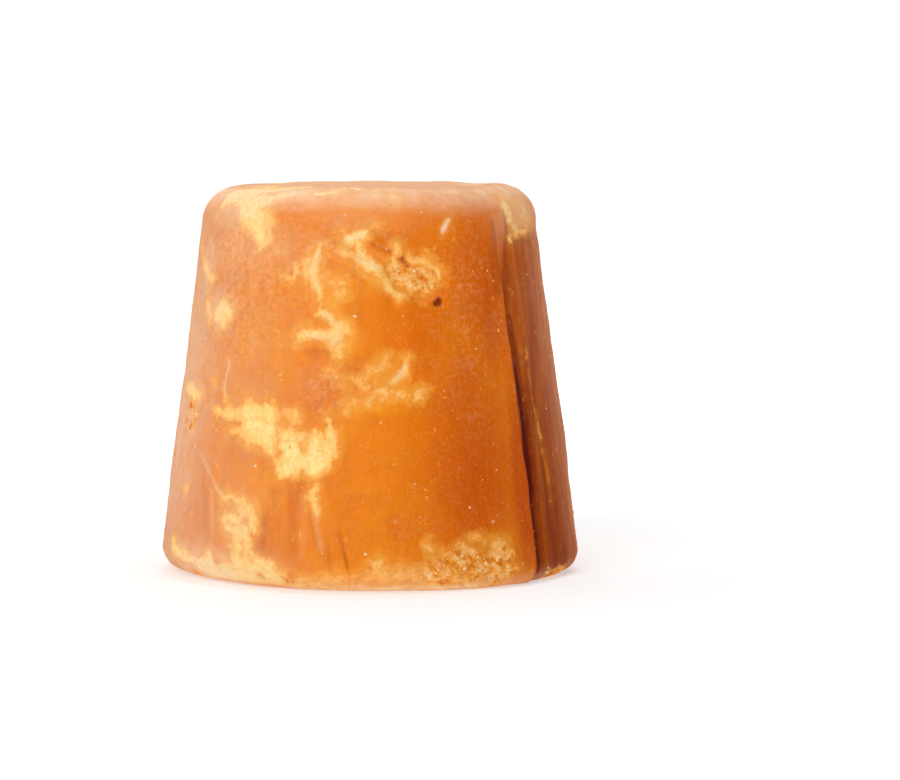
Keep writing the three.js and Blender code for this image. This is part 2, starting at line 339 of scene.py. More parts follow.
# %% Strokes of pale sugar, as (reach, depth, [(angle, height, width), ...])
PALE_STROKES = [
    # Smear over the left of the shoulder.
    (2.2, 0.15, [(-59.5, 95, 1.9), (-50.5, 94.5, 3.1), (-42.5, 93.5, 3.7), (-38.5, 94, 2.4)]),
    (1.9, 0.15, [(-45, 92.5, 5.3), (-41, 90, 4.6), (-38.8, 87.5, 3.5), (-37.8, 85.5, 2.5), (-37, 83.5, 1.2)]),
    (0.1, 0.05, [(-44, 91, 4.5), (-38, 88.5, 6), (-36.5, 86.5, 4)]),
    (-0.5, 0.05, [(-34.5, 95, 1.6), (-29, 96, 1)]),
    (0.8, 0, [(-63, 93.5, 1), (-63.5, 95.5, 1.4), (-60, 96, 1.2)]),
    (0.7, 0, [(-60, 96.3, 1.4), (-52, 96.8, 2.4), (-42, 97, 2.6), (-34, 97.3, 2.2), (-24, 97.4, 1)]),
    # Band along the top.
    (-0.3, 0, [(-18.5, 96, 0.6), (-14, 96.5, 0.8), (-8, 97, 0.8), (-3.5, 97, 0.6)]),
    (-0.8, 0, [(2, 95.5, 0.6), (7, 95, 0.8), (11.5, 95, 0.6)]),
    # Streak and patch near the left edge.
    (-0.1, 0, [(-77, 82, 0.8), (-71.5, 78, 1.2), (-66, 76, 1.2), (-60.5, 74.3, 0.7)]),
    (-0.4, 0, [(-63.5, 72, 1), (-63, 68.5, 1.8), (-60.5, 65.5, 2)]),
    (0.9, 0.2, [(-54, 69.3, 1.2), (-53, 67.3, 3.4), (-52.3, 65.3, 2.6), (-52, 63.4, 0.8)]),
    (1.4, 0.2, [(-56.5, 66, 2), (-52.5, 67, 3.4), (-49, 67, 1.8)]),
    # Tick, and blobs beside it.
    (-0.1, 0, [(-22.5, 78.5, 0.4), (-23, 76.5, 0.6), (-24.5, 75.2, 0.7), (-26.5, 76.5, 0.4)]),
    (-0.9, 0, [(-29.5, 82.5, 0.6), (-27.5, 82, 0.4)]),
    # Left arm of the ring.
    (1.6, 0.2, [(-15, 84, 0.4), (-16, 82, 0.8), (-17.3, 80, 1.2), (-17.3, 77.5, 1.6), (-16.5, 75, 1.4),
        (-15.5, 73, 1.2), (-14.5, 71, 0.6)]),
    (0.2, 0.1, [(-17.5, 81, 1), (-19.5, 79, 1.8), (-18.5, 76.5, 1.6), (-17.5, 74, 1)]),
    (-0.8, 0.1, [(-18.5, 76.5, 0.8), (-19.5, 74.5, 0.6)]),
    # Nub with whiskers.
    (2.4, 0.1, [(-6, 85.2, 1.8), (-5, 85.2, 2.2), (-3, 85.6, 2.2), (-1, 86.3, 1.8), (0, 87, 1)]),
    (-0.2, 0, [(0, 87, 0.6), (1.5, 88, 0.4), (4, 88.2, 0.3)]),
    (-0.4, 0, [(-9, 87.5, 0.3), (-6.5, 86.5, 0.5)]),
    # Ribbon into the scoop.
    (1.7, 0.1, [(-2.5, 84, 1), (-2, 82.5, 1.2), (-1.5, 81.5, 1.8), (0, 80, 2.6), (1.5, 79, 2.8),
        (3.5, 78.5, 1.8)]),
    (0.3, 0.05, [(-7, 82.5, 0.6), (-5, 81.5, 1), (-2.5, 80.5, 1.4)]),
    (0.6, 0.1, [(3.5, 78.5, 1.8), (5, 76.5, 1.6), (6.5, 75.5, 1.6), (7.5, 74, 1.2), (8.5, 73, 0.8)]),
    (0.4, 0.1, [(8.5, 73, 0.8), (10, 72, 1), (12, 72, 0.8)]),
    # Clumps in the scoop.
    (0.4, 0, [(10, 83.5, 0.6), (10, 82, 0.8)]),
    (1, 0.1, [(9, 80.5, 0.6), (9.5, 79.5, 1), (11, 78.5, 1.6), (12, 77.5, 1.4)]),
    (0.9, 0.1, [(8.5, 78, 1.4), (10.5, 76.5, 1.8), (11, 75.5, 1.6), (12, 74.5, 1.2)]),
    (0.2, 0, [(14.5, 80.5, 1), (15.5, 80, 1.2), (17, 80, 1), (19.5, 79.5, 0.6)]),
    (1, 0, [(14, 77, 1), (16, 76, 1.4), (17, 75, 1.6), (17.5, 73.5, 1.2)]),
    (0.8, 0, [(21, 79.5, 0.8), (22.3, 78.3, 1), (23.2, 77, 1.6), (22.8, 76, 1.6), (22, 75, 0.8)]),
    (0.4, 0, [(14, 74.5, 0.8), (14.5, 73, 0.6)]),
    (0.4, 0, [(19, 72.5, 0.8), (20, 74, 0.6)]),
    # Ring bottom.
    (-0.2, 0, [(-14, 76.5, 0.3), (-12.4, 75.3, 0.4), (-9.2, 74.1, 0.5), (-6.7, 74.7, 0.4)]),
    (0.5, 0, [(-10, 72.8, 0.3), (-8.4, 72.3, 0.9), (-6.5, 72.8, 0.5)]),
    # Star.
    (1.2, 0.1, [(-14.5, 68, 0.8), (-12.5, 67.5, 1.6), (-11, 66.5, 1)]),
    (0.2, 0.1, [(-11, 66, 1), (-8.5, 64.5, 1.8), (-6.5, 64, 1.6), (-5.5, 63, 1)]),
    (1.3, 0.2, [(-21, 61.5, 0.8), (-19, 62.5, 1.6), (-16.5, 62.5, 1.6), (-14, 62.5, 1.4),
        (-10.5, 62.5, 1.4)]),
    (0.8, 0.25, [(-6.5, 63.5, 1.4), (-8, 62.5, 2.2), (-9.5, 61, 2.8), (-10.5, 59.5, 2)]),
    (0.6, 0.15, [(-9.5, 58.5, 2), (-8.3, 57, 1.2)]),
    (-0.7, 0, [(-11, 66.5, 1.6), (-9.5, 63.5, 3.2), (-8.5, 60, 3.2)]),
    # Leaf.
    (-0.6, 0.1, [(-11.5, 53.5, 0.4), (-7.5, 52.5, 0.5), (-4.5, 52, 0.6), (-2, 52.5, 0.8), (0, 52.5, 0.8)]),
    (-0.5, 0.1, [(-2.5, 52, 0.8), (-1, 50.5, 0.8), (0.5, 49, 0.9), (2.5, 48, 1)]),
    (-0.1, 0.1, [(0.5, 53.3, 1), (3, 54, 2), (4.7, 55, 1.6), (6.2, 56.6, 0.6)]),
    (0.3, 0.2, [(6.5, 49, 0.7), (8.3, 50.7, 0.9), (10.3, 52.7, 1), (11.5, 54.3, 0.8), (12.4, 56, 0.4)]),
    (0.1, 0.15, [(4, 48.5, 0.6), (7, 48.5, 1.2), (10, 48, 1), (12, 47.5, 0.6)]),
    (0.4, 0.1, [(14.5, 47.5, 0.9), (15.5, 48, 1.3), (17, 48.8, 0.6)]),
    (-0.3, 0, [(-5.5, 44.5, 1), (-3, 46, 1.4), (-0.5, 46.5, 1.2), (1, 46.3, 1)]),
    (-0.7, 0, [(-7, 50, 0.8), (-6, 49.5, 0.6)]),
    # Large patch, left lobe.
    (0.9, 0.2, [(-51, 43, 0.8), (-47, 42.5, 1.8), (-41.5, 42.5, 2.4), (-37.5, 42.5, 3.7)]),
    (1.7, 0.3, [(-38, 43, 3.3), (-33.5, 43, 3.6), (-30, 43, 2.8)]),
    (0.5, 0.1, [(-37, 46, 1), (-36.5, 44, 2)]),
    (2.1, 0.4, [(-37, 40, 3.2), (-33, 39, 5.3), (-30.5, 37.5, 4), (-29.5, 35, 2.4), (-28.5, 33.5, 1)]),
    (1, 0.2, [(-43, 39, 1.2), (-39.5, 38, 1.8), (-35.5, 37, 2.2)]),
    (2.2, 0.4, [(-31, 45, 1.2), (-30, 43, 2), (-30, 39, 3.2)]),
    (1.2, 0.3, [(-30, 37, 1.6), (-27.5, 37.5, 1.4), (-24, 37.5, 1.6)]),
    (0, 0.1, [(-28.5, 45.5, 0.8), (-27.5, 40.5, 0.8), (-27, 33, 0.8)]),
    # Large patch, middle and right lobes.
    (1.8, 0.4, [(-26.5, 38, 1.8), (-24, 37.5, 3.2), (-21, 37, 3.2)]),
    (2.3, 0.45, [(-25, 35.5, 2.4), (-22.5, 34, 4.8), (-22, 32, 6), (-22.5, 31, 4.2)]),
    (1.6, 0.3, [(-27, 32, 1.2), (-25.5, 30, 2.4), (-23.5, 29, 1.8)]),
    (2.2, 0.45, [(-20, 32, 3.6), (-17.5, 32, 4), (-15, 31.5, 4.4)]),
    (2.2, 0.45, [(-15.5, 38.5, 1.6), (-15.5, 36.5, 2.8), (-14.5, 34.5, 4), (-14, 32, 5.2), (-15, 30, 3.6)]),
    (1.5, 0.3, [(-11, 42, 1.4), (-9.8, 40, 1.6), (-9.8, 37, 2.2), (-10.6, 34.5, 2.6), (-11.5, 32.5, 2.2)]),
    (1.4, 0.3, [(-13.5, 38, 1.4), (-12, 35.5, 2.4), (-11, 33.5, 2.4)]),
    (0.2, 0.1, [(-19, 38.5, 1), (-18.5, 35.5, 1.2)]),
    (0, 0, [(-24.5, 43, 1.6), (-22, 42.5, 1.8), (-20, 41.5, 1.2)]),
    # Drip.
    (1.1, 0.15, [(-14.5, 25.3, 0.8), (-14.5, 23.5, 1.3), (-14, 21.5, 1.3), (-14, 19.8, 0.8)]),
    # Vein, specks and patches near the left edge.
    (-0.6, 0, [(-48, 48, 0.3), (-47.5, 46.5, 0.6), (-47.5, 45, 1.2), (-48, 43, 1.2)]),
    (-0.4, 0, [(-53.5, 50.5, 0.5), (-53, 49.5, 0.5)]),
    (0.8, 0.1, [(-74, 46.5, 1.6), (-68.5, 46.5, 2.2), (-63.5, 46.5, 1.8), (-61, 46, 1)]),
    (-0.9, 0, [(-62.5, 37.5, 1), (-65, 36, 0.8), (-64.5, 34.5, 0.6)]),
    (0.2, 0, [(-62.5, 23.5, 0.4), (-62.5, 22.5, 0.5)]),
    # Hooked patch.
    (0.8, 0.1, [(-43.5, 21.5, 0.6), (-41.5, 22, 0.8), (-39, 22, 0.8), (-37, 21.5, 1)]),
    (1.3, 0.15, [(-37, 21.5, 1), (-36, 20.5, 1), (-34.5, 19, 1), (-33, 18.5, 1)]),
    (1.5, 0.15, [(-33.5, 20, 0.6), (-33, 18, 1), (-32.5, 16, 1.2), (-32, 14.5, 1), (-32, 14, 0.6)]),
    (0.8, 0.15, [(-37.5, 19, 0.5), (-36.5, 18, 0.8), (-37, 17, 1)]),
    (1.5, 0.2, [(-43, 17, 1), (-41.5, 17.5, 1.2), (-40, 17, 1.2), (-38.5, 16.5, 1)]),
    (1.5, 0.2, [(-41.5, 15, 1), (-39.5, 14, 1.4), (-38, 14, 1.6), (-35.5, 14, 1.6), (-34, 14.5, 1.2)]),
    (1.4, 0.2, [(-39, 12.5, 0.8), (-37, 12.5, 1.6), (-35, 12.5, 1.6), (-33.5, 12.5, 0.8)]),
    (1.5, 0.2, [(-38.5, 11.5, 0.8), (-37, 10, 1.2), (-37, 8, 1.4), (-37.5, 6.5, 1.6)]),
    (1.2, 0.15, [(-34, 11.5, 0.8), (-32.5, 10, 0.8), (-31.5, 9, 0.8), (-31, 7.5, 1)]),
    (0.5, 0.1, [(-35, 10.5, 1), (-34, 9, 1.2), (-34, 7.5, 1.6)]),
    # Ragged base rim, left.
    (1.4, 0.05, [(-72, 8.5, 1), (-67.5, 7.3, 2), (-62.5, 6.5, 2.2), (-58, 5.5, 2), (-53, 5, 1.6)]),
    (0.3, 0, [(-71, 10.5, 0.8), (-66, 9, 1)]),
    (1.6, 0.3, [(-51.5, 5.2, 1.4), (-49.5, 6.5, 1.2), (-48.5, 7.8, 0.5)]),
    (1.9, 0.3, [(-51, 4, 2), (-46.5, 4.5, 2), (-42.5, 4.5, 2.4), (-39, 4, 2.8), (-35.5, 4, 3.2)]),
    (2, 0.3, [(-37, 6, 1.6), (-34, 6, 2), (-30.5, 6, 2), (-28.5, 6.5, 1.2)]),
    (2, 0.3, [(-30.5, 8, 0.8), (-29, 6.5, 1.6), (-27.5, 5.5, 2.4), (-25.5, 4.5, 2)]),
    (1.9, 0.3, [(-28.5, 3.5, 2.8), (-25.5, 3, 2.4), (-24.5, 2, 1.2)]),
    (0.8, 0.2, [(-26, 5.2, 1.4), (-23.5, 4.5, 1.2), (-22, 4.3, 1)]),
    (-0.3, 0, [(-22, 1.4, 1.2), (-8, 1, 1.4), (5, 1, 1.4), (20, 1, 1.4), (32, 1.2, 1.2)]),
    (1.2, 0.1, [(-57, 3, 1), (-50, 2, 1), (-43.5, 2.5, 1), (-36.5, 2, 1), (-30, 2, 0.8), (-25, 1.5, 0.6)]),
    # Base rim, middle and right.
    (-0.1, 0.05, [(-18, 3, 0.8), (-16, 3, 1.2), (-13, 3, 1.8), (-10, 3.5, 1.6), (-6, 3.5, 1.4)]),
    (-0.3, 0.05, [(-4, 3.5, 1.4), (-2, 4.5, 2.2), (0, 4.5, 2.4), (2.5, 5, 3), (5, 5, 3.4), (7.5, 5, 3),
        (10, 5, 2.8), (13, 4.5, 2.4)]),
    (-0.5, 0.05, [(13, 4.5, 2.4), (17.5, 5, 4)]),
    (1, 0, [(2, 7.5, 0.6), (3.5, 8, 1), (3, 7, 0.8)]),
    (-0.2, 0.1, [(20.5, 7.5, 1.2), (21.5, 5.5, 1.6), (21.5, 3, 1.2)]),
    (0.5, 0, [(17, 11.5, 0.8), (17.5, 10.5, 0.6)]),
    # Chip.
    (-1.3, 0.1, [(26, 87, 0.6), (27.3, 88.3, 0.9), (28.5, 89.5, 0.5)]),
    # Rough right base.
    (-0.2, 0.05, [(29, 13, 0.4), (32.5, 13, 0.6), (33.5, 11.5, 0.6)]),
    (0.2, 0.1, [(21, 9, 0.6), (21.5, 7, 1.2), (22.5, 5, 1.2)]),
    (0, 0.1, [(23.5, 9, 1.2), (26.5, 9.5, 1.6), (29.5, 9, 1)]),
    (0, 0.1, [(25.5, 5.5, 1.2), (26.5, 4, 1.6)]),
    (0.3, 0.1, [(37, 10.5, 1.2), (39.5, 11, 1.6), (40, 8, 1.6)]),
    (-0.2, 0.1, [(35.5, 2.5, 1.2), (38, 3.5, 1.6)]),
    # Flake. Its last stroke, under the lip, is a painted highlight speck.
    (-1.1, 0, [(58, 95.5, 2.9), (62, 94, 3.7), (65, 91, 3.7), (69.5, 87, 2.5)]),
    (0.7, 0, [(56, 93.5, 0.5), (56.5, 91.5, 0.5), (57.2, 89.5, 0.6), (59.2, 87.5, 0.7), (61, 86.2, 0.7),
        (67, 86, 0.4)]),
    (1.6, 0, [(56.5, 85, 0.6), (57.5, 84.5, 0.6)]),
    # Golden threads past the fold: painted highlights along the second fold's ridge.
    (-0.7, 0, [(63.5, 42.5, 0.3), (64, 40.5, 0.4), (64.3, 36, 0.4), (65.3, 32, 0.3)]),
    (-1, 0, [(59, 57, 0.3), (60, 55.5, 0.3)]),
]

# %% [markdown]
# The far sides get strokes by a rule: every drawn hollow holds a few short ones at chance tilts.

# %% Strokes on the far sides
TUFTS = 4
TUFT_TILT = 40
TUFT_HALVES = (0.15, 0.35)
TUFT_SHIFT_ROUND, TUFT_SHIFT_UP = 0.3, 0.4
TUFT_WIDTHS = (0.15, 0.6)
TUFT_FIRST, TUFT_LAST = 0.5, 0.4
TUFT_REACHES = (0.1, 2.0)
TUFT_DEPTHS = (0.1, 0.4)
rng = np.random.default_rng(RANDOM_SEED)


def drawn_strokes():
    """Short strokes scattered inside each drawn hollow, each from one point to another at a chance tilt."""
    strokes = []
    for at, up, length, width, tilt, _ in far_hollows:
        degree = math.degrees(1 / (BASE_RADIUS - TAPER * up))
        for _ in range(TUFTS):
            way = math.radians(tilt + rng.uniform(-TUFT_TILT, TUFT_TILT))
            half = length * rng.uniform(*TUFT_HALVES)
            a = at + length * degree * rng.uniform(-TUFT_SHIFT_ROUND, TUFT_SHIFT_ROUND)
            h = up + width * rng.uniform(-TUFT_SHIFT_UP, TUFT_SHIFT_UP)
            da, dh = half * math.cos(way) * degree, half * math.sin(way)
            broad = width * rng.uniform(*TUFT_WIDTHS)
            first, last = (a - da, h - dh, broad * TUFT_FIRST), (a + da, h + dh, broad * TUFT_LAST)
            knots = [first, (a, h, broad), last]
            strokes.append((rng.uniform(*TUFT_REACHES), rng.uniform(*TUFT_DEPTHS), knots))
    return strokes


pale_strokes = PALE_STROKES + drawn_strokes()
print("strokes of pale sugar", len(pale_strokes))

# %% Field of pale sugar
FAR_OUTSIDE = -6.0
FULLER = 1.2
INSIDE_SLOPE = 1.8
OUTSIDE_SLOPE = 1.1
EDGE_WANDER = [(7, 0.45), (3, 0.35), (1.6, 0.2)]
WANDER_SEED, WANDER_UP_SEED = 11, 16
MM_PER_DEGREE = 0.85
DIP_EDGE = (-0.5, 1.0)
TINY = 1e-9


def chain(knots, angle, along):
    """For a chain of knots: the half-width and the distance to the chain, at every point of the grid. The
    distance round the block is the radius times the angle, and the one up is measured on the outline."""
    for (a0, h0, w0), (a1, h1, w1) in zip(knots, knots[1:]):
        start, end = np.interp([h0, h1], outline[:, 1], run)
        x = radius * np.radians(np.mod(angle - a0 + 180, 360) - 180)
        y = along - start
        dx, dy = radius * math.radians(a1 - a0), end - start
        t = np.clip((x * dx + y * dy) / (dx * dx + dy * dy + TINY), 0, 1)
        yield FULLER * (w0 + (w1 - w0) * t) / 2, np.hypot(x - t * dx, y - t * dy)


wandered_angle = angle + layers(point, EDGE_WANDER, WANDER_SEED) / MM_PER_DEGREE
wandered_along = along + layers(point, EDGE_WANDER, WANDER_UP_SEED)


def pale_field(strokes):
    """The largest, over the strokes, of the distance inside the edge, made steeper and held down to the
    stroke's reach; outside every stroke it falls with the distance to the nearest."""
    field = np.full(angle.shape, FAR_OUTSIDE)
    dip = np.zeros(angle.shape)
    for reach, depth, knots in strokes:
        for half, away in chain(knots, wandered_angle, wandered_along):
            inside = half - away
            slope = np.where(inside > 0, np.maximum(reach / half, INSIDE_SLOPE), OUTSIDE_SLOPE)
            scaled = np.minimum(inside * slope + min(reach, 0), reach)
            field = np.maximum(field, scaled)
            dip = np.maximum(dip, depth * smoothstep(inside, *DIP_EDGE))
    return field, dip


TOP_PATCH, TOP_SEED = [(27, 0.7), (11, 0.5)], 31
TOP_LIMIT, TOP_SLOPE = 0.75, 3
TOP_STARTS = (96.9, 97.6)
pale, pale_dip = pale_field(pale_strokes)
on_top = smoothstep(height, *TOP_STARTS)
top_pale = (layers(point, TOP_PATCH, TOP_SEED) - TOP_LIMIT) * TOP_SLOPE
pale = np.maximum(pale, on_top * (top_pale - FAR_OUTSIDE) + FAR_OUTSIDE)
print("share of the surface that is pale", (pale > 0).mean().round(3))

# %% [markdown]
# ## Other fields
# Dark syrup gathered in the folds with their painted shade, a film of dry bloom, specks of it, golden places
# where the skin is thin, streaks the cloth left, and crumbly places where the broken inside shows: each is a
# field from 0 to 1. Haze is bloom with painted sheen towards the edges; bloom and gold also hold painted
# highlights on ridges and satin folds and painted bounce light along the base, and deep amber holds painted
# shade on the right front.

# %% Soft spots, as (angle, height, half-width in degrees, half-height, strength)
# Haze: a film of dry bloom, and also painted sheen, strongest over the left side, along the right edge and on
# the top edge.
HAZE_AND_SHEEN = [
    (-86, 40, 42, 90, 1.1),
    (-16, 51, 8, 7, 0.25),
    (-46, 50, 20, 40, 0.45),
    (88, 66, 20, 30, 0.45),
    (50, 86, 3, 5, 0.35),
    (170, 20, 40, 50, 0.25),
    (215, 85, 50, 30, 0.25),
]
# Bloom: a film of dry sugar; the entries at heights 0 and 2 lighten the base's edge as painted bounce light
# from the floor, over pale bloom.
BLOOM_AND_HIGHLIGHT = [
    (-42, 84, 30, 9, 0.35),
    (-34, 55, 26, 50, 0.1),
    (-52, 94, 16, 8, 0.8),
    (-66, 78, 6, 9, 0.6),
    (-57, 67, 9, 6, 0.6),
    (-75, 40, 18, 40, 0.5),
    (-5, 91, 22, 4, 0.3),
    (15, 0, 55, 2.5, 0.9),
    (150, 70, 30, 25, 0.45),
    (235, 45, 35, 30, 0.25),
    (190, 20, 30, 20, 0.3),
    (112, 27, 16, 18, 0.2),
    (64, 92, 14, 5, 0.9),
    (-52, 2, 24, 8, 1.1),
    (-68, 47, 6, 3, 0.7),
    (20, 2, 30, 5, 0.12),
    (-38, 15, 7, 9, 0.45),
    (-63, 35.5, 2, 2, 0.4),
]
SPECKLE = [
    (-50, 78, 35, 22, 1.0),
    (-10, 84, 25, 10, 0.7),
    (-12, 50, 10, 8, 0.8),
    (32, 68, 14, 30, 0.5),
    (44, 62, 12, 22, 0.3),
    (0, 15, 40, 20, 0.2),
    (-85, 30, 20, 60, 0.5),
    (140, 50, 40, 60, 0.7),
    (220, 40, 40, 60, 0.6),
]
# Gold: places where the skin is thin and golden; the entry at height 2 is painted bounce light along the
# base's edge.
GOLD_AND_HIGHLIGHT = [
    (-36, 66, 26, 26, 0.3),
    (-6, 60, 4.5, 4.5, 0.9),
    (-9.5, 70, 3, 3, 0.9),
    (-18.5, 78, 1.5, 4, 0.5),
    (4, 45.5, 6, 2.5, 0.8),
    (-2, 45, 4, 3, 0.6),
    (-6, 39.5, 3, 3, 0.4),
    (-12, 39.5, 1.5, 1.5, 0.9),
    (-19, 37.5, 1.5, 3, 0.5),
    (-27.5, 40, 1.2, 8, 0.4),
    (2, 76, 6, 3, 0.6),
    (-10, 78, 5, 6, 0.4),
    (-32, 15, 8, 10, 0.3),
    (39, 9, 5, 5, 1.0),
    (5, 2, 50, 4, 0.8),
    (-28, 26, 10, 8, 0.45),
    (-15, 10, 10, 12, 0.35),
    (160, 60, 9, 12, 0.7),
    (235, 30, 10, 9, 0.6),
    (200, 75, 16, 10, 0.45),
    (175, 35, 14, 18, 0.4),
    (255, 60, 12, 16, 0.35),
]
# Deeper, redder amber; the large spots from 20 to 50 degrees are painted shade of the right front and the
# fold, turned from the key light.
DEEP_AND_SHADE = [
    (33, 28, 16, 36, 1.1),
    (50, 25, 7, 32, 1.4),
    (42, 72, 13, 25, 1.05),
    (20, 62, 12, 20, 0.5),
    (46, 80, 2, 10, 0.9),
    (-14, 58, 4, 1.5, 0.5),
    (3.5, 50.5, 3, 2, 0.7),
    (14, 74, 2, 1.5, 0.9),
    (-2.5, 53.5, 1.2, 0.8, 0.9),
    (0.5, 50, 1.5, 1, 0.6),
    (-19, 25, 2, 4, 0.5),
    (-29, 13, 3, 6, 0.6),
    (-20.5, 13, 1.2, 12, 0.6),
    (5, 85, 7, 2, 0.5),
    (150, 40, 30, 40, 0.8),
    (250, 20, 20, 30, 0.6),
]
STREAKY = [(-40, 15, 28, 34, 1.0), (62, 45, 9, 50, 0.4), (-30, 58, 20, 16, 0.5), (180, 30, 70, 50, 0.8)]


def spots(marks):
    """The strongest of some soft spots, each its strength times the exponential of minus the squared
    distance shares."""
    field = np.zeros(angle.shape)
    for at, up, wide, tall, strength in marks:
        turn = (np.mod(angle - at + 180, 360) - 180) / wide
        field = np.maximum(field, strength * np.exp(-(turn**2) - ((height - up) / tall) ** 2))
    return field


TOP_HAZE_AND_SHEEN = 0.85
TOP_BLOOM, TOP_BLOOM_THINS = 1.2, 0.55
TOP_EDGE_START, TOP_BLOOM_START = 96.6, 89
LEAST_SPECKLE, LEAST_STREAKY = 0.06, 0.25
top_edge = smoothstep(height, TOP_EDGE_START, BLOCK_HEIGHT)
top_bloom = TOP_BLOOM * smoothstep(height, TOP_BLOOM_START, BLOCK_HEIGHT)
# The haze along the top edge is painted sheen over the bloom.
haze = np.maximum(spots(HAZE_AND_SHEEN), TOP_HAZE_AND_SHEEN * top_edge)
bloom = np.maximum(spots(BLOOM_AND_HIGHLIGHT), top_bloom) * (1 - TOP_BLOOM_THINS * top_edge)
speckle = np.maximum(spots(SPECKLE), LEAST_SPECKLE)
gold = spots(GOLD_AND_HIGHLIGHT)
deep = spots(DEEP_AND_SHADE)
streaky = np.maximum(spots(STREAKY), LEAST_STREAKY)
print("haze over", haze.mean().round(2), "and bloom over", bloom.mean().round(2), "of the surface")
print("specks over", speckle.mean().round(2), "of the surface")

# %% Dark folds: dark syrup and painted shade
LINE_MIDDLE, LINE_WIDE, LINE_SHARE = 0.7, 1.3, 0.4
STRIP_START, STRIP_FULL, STRIP_LATE = -0.5, 1.5, 8.0
STRIP_REACH, STRIP_SHARE = 24.0, 0.62
DARK_ENDS = (84, 90)


def fold_darkness(angle, radius, height):
    """Past each fold: a dark line close to it, and a brown strip that fades away; both are dark syrup and
    painted shade.
    """
    total = 0
    end = 1 - smoothstep(height, *DARK_ENDS)
    for fold in FOLDS:
        past, up = fold_past(fold, angle, radius, height)
        strength = fold["syrup_and_shade"] * fold["depth"] / FOLDS[0]["depth"]
        strength = strength * np.sqrt(1 + (fold["upper"] - 1) * up) * end
        line = np.exp(-(((past - LINE_MIDDLE) / LINE_WIDE) ** 2)) * (1 - up)
        strip = smoothstep(past, STRIP_START, STRIP_FULL + STRIP_LATE * up * up)
        strip = strip * np.exp(-np.maximum(past, 0) / STRIP_REACH)
        total = total + strength * (LINE_SHARE * line + STRIP_SHARE * strip)
    return total


dark = fold_darkness(angle, radius, height)

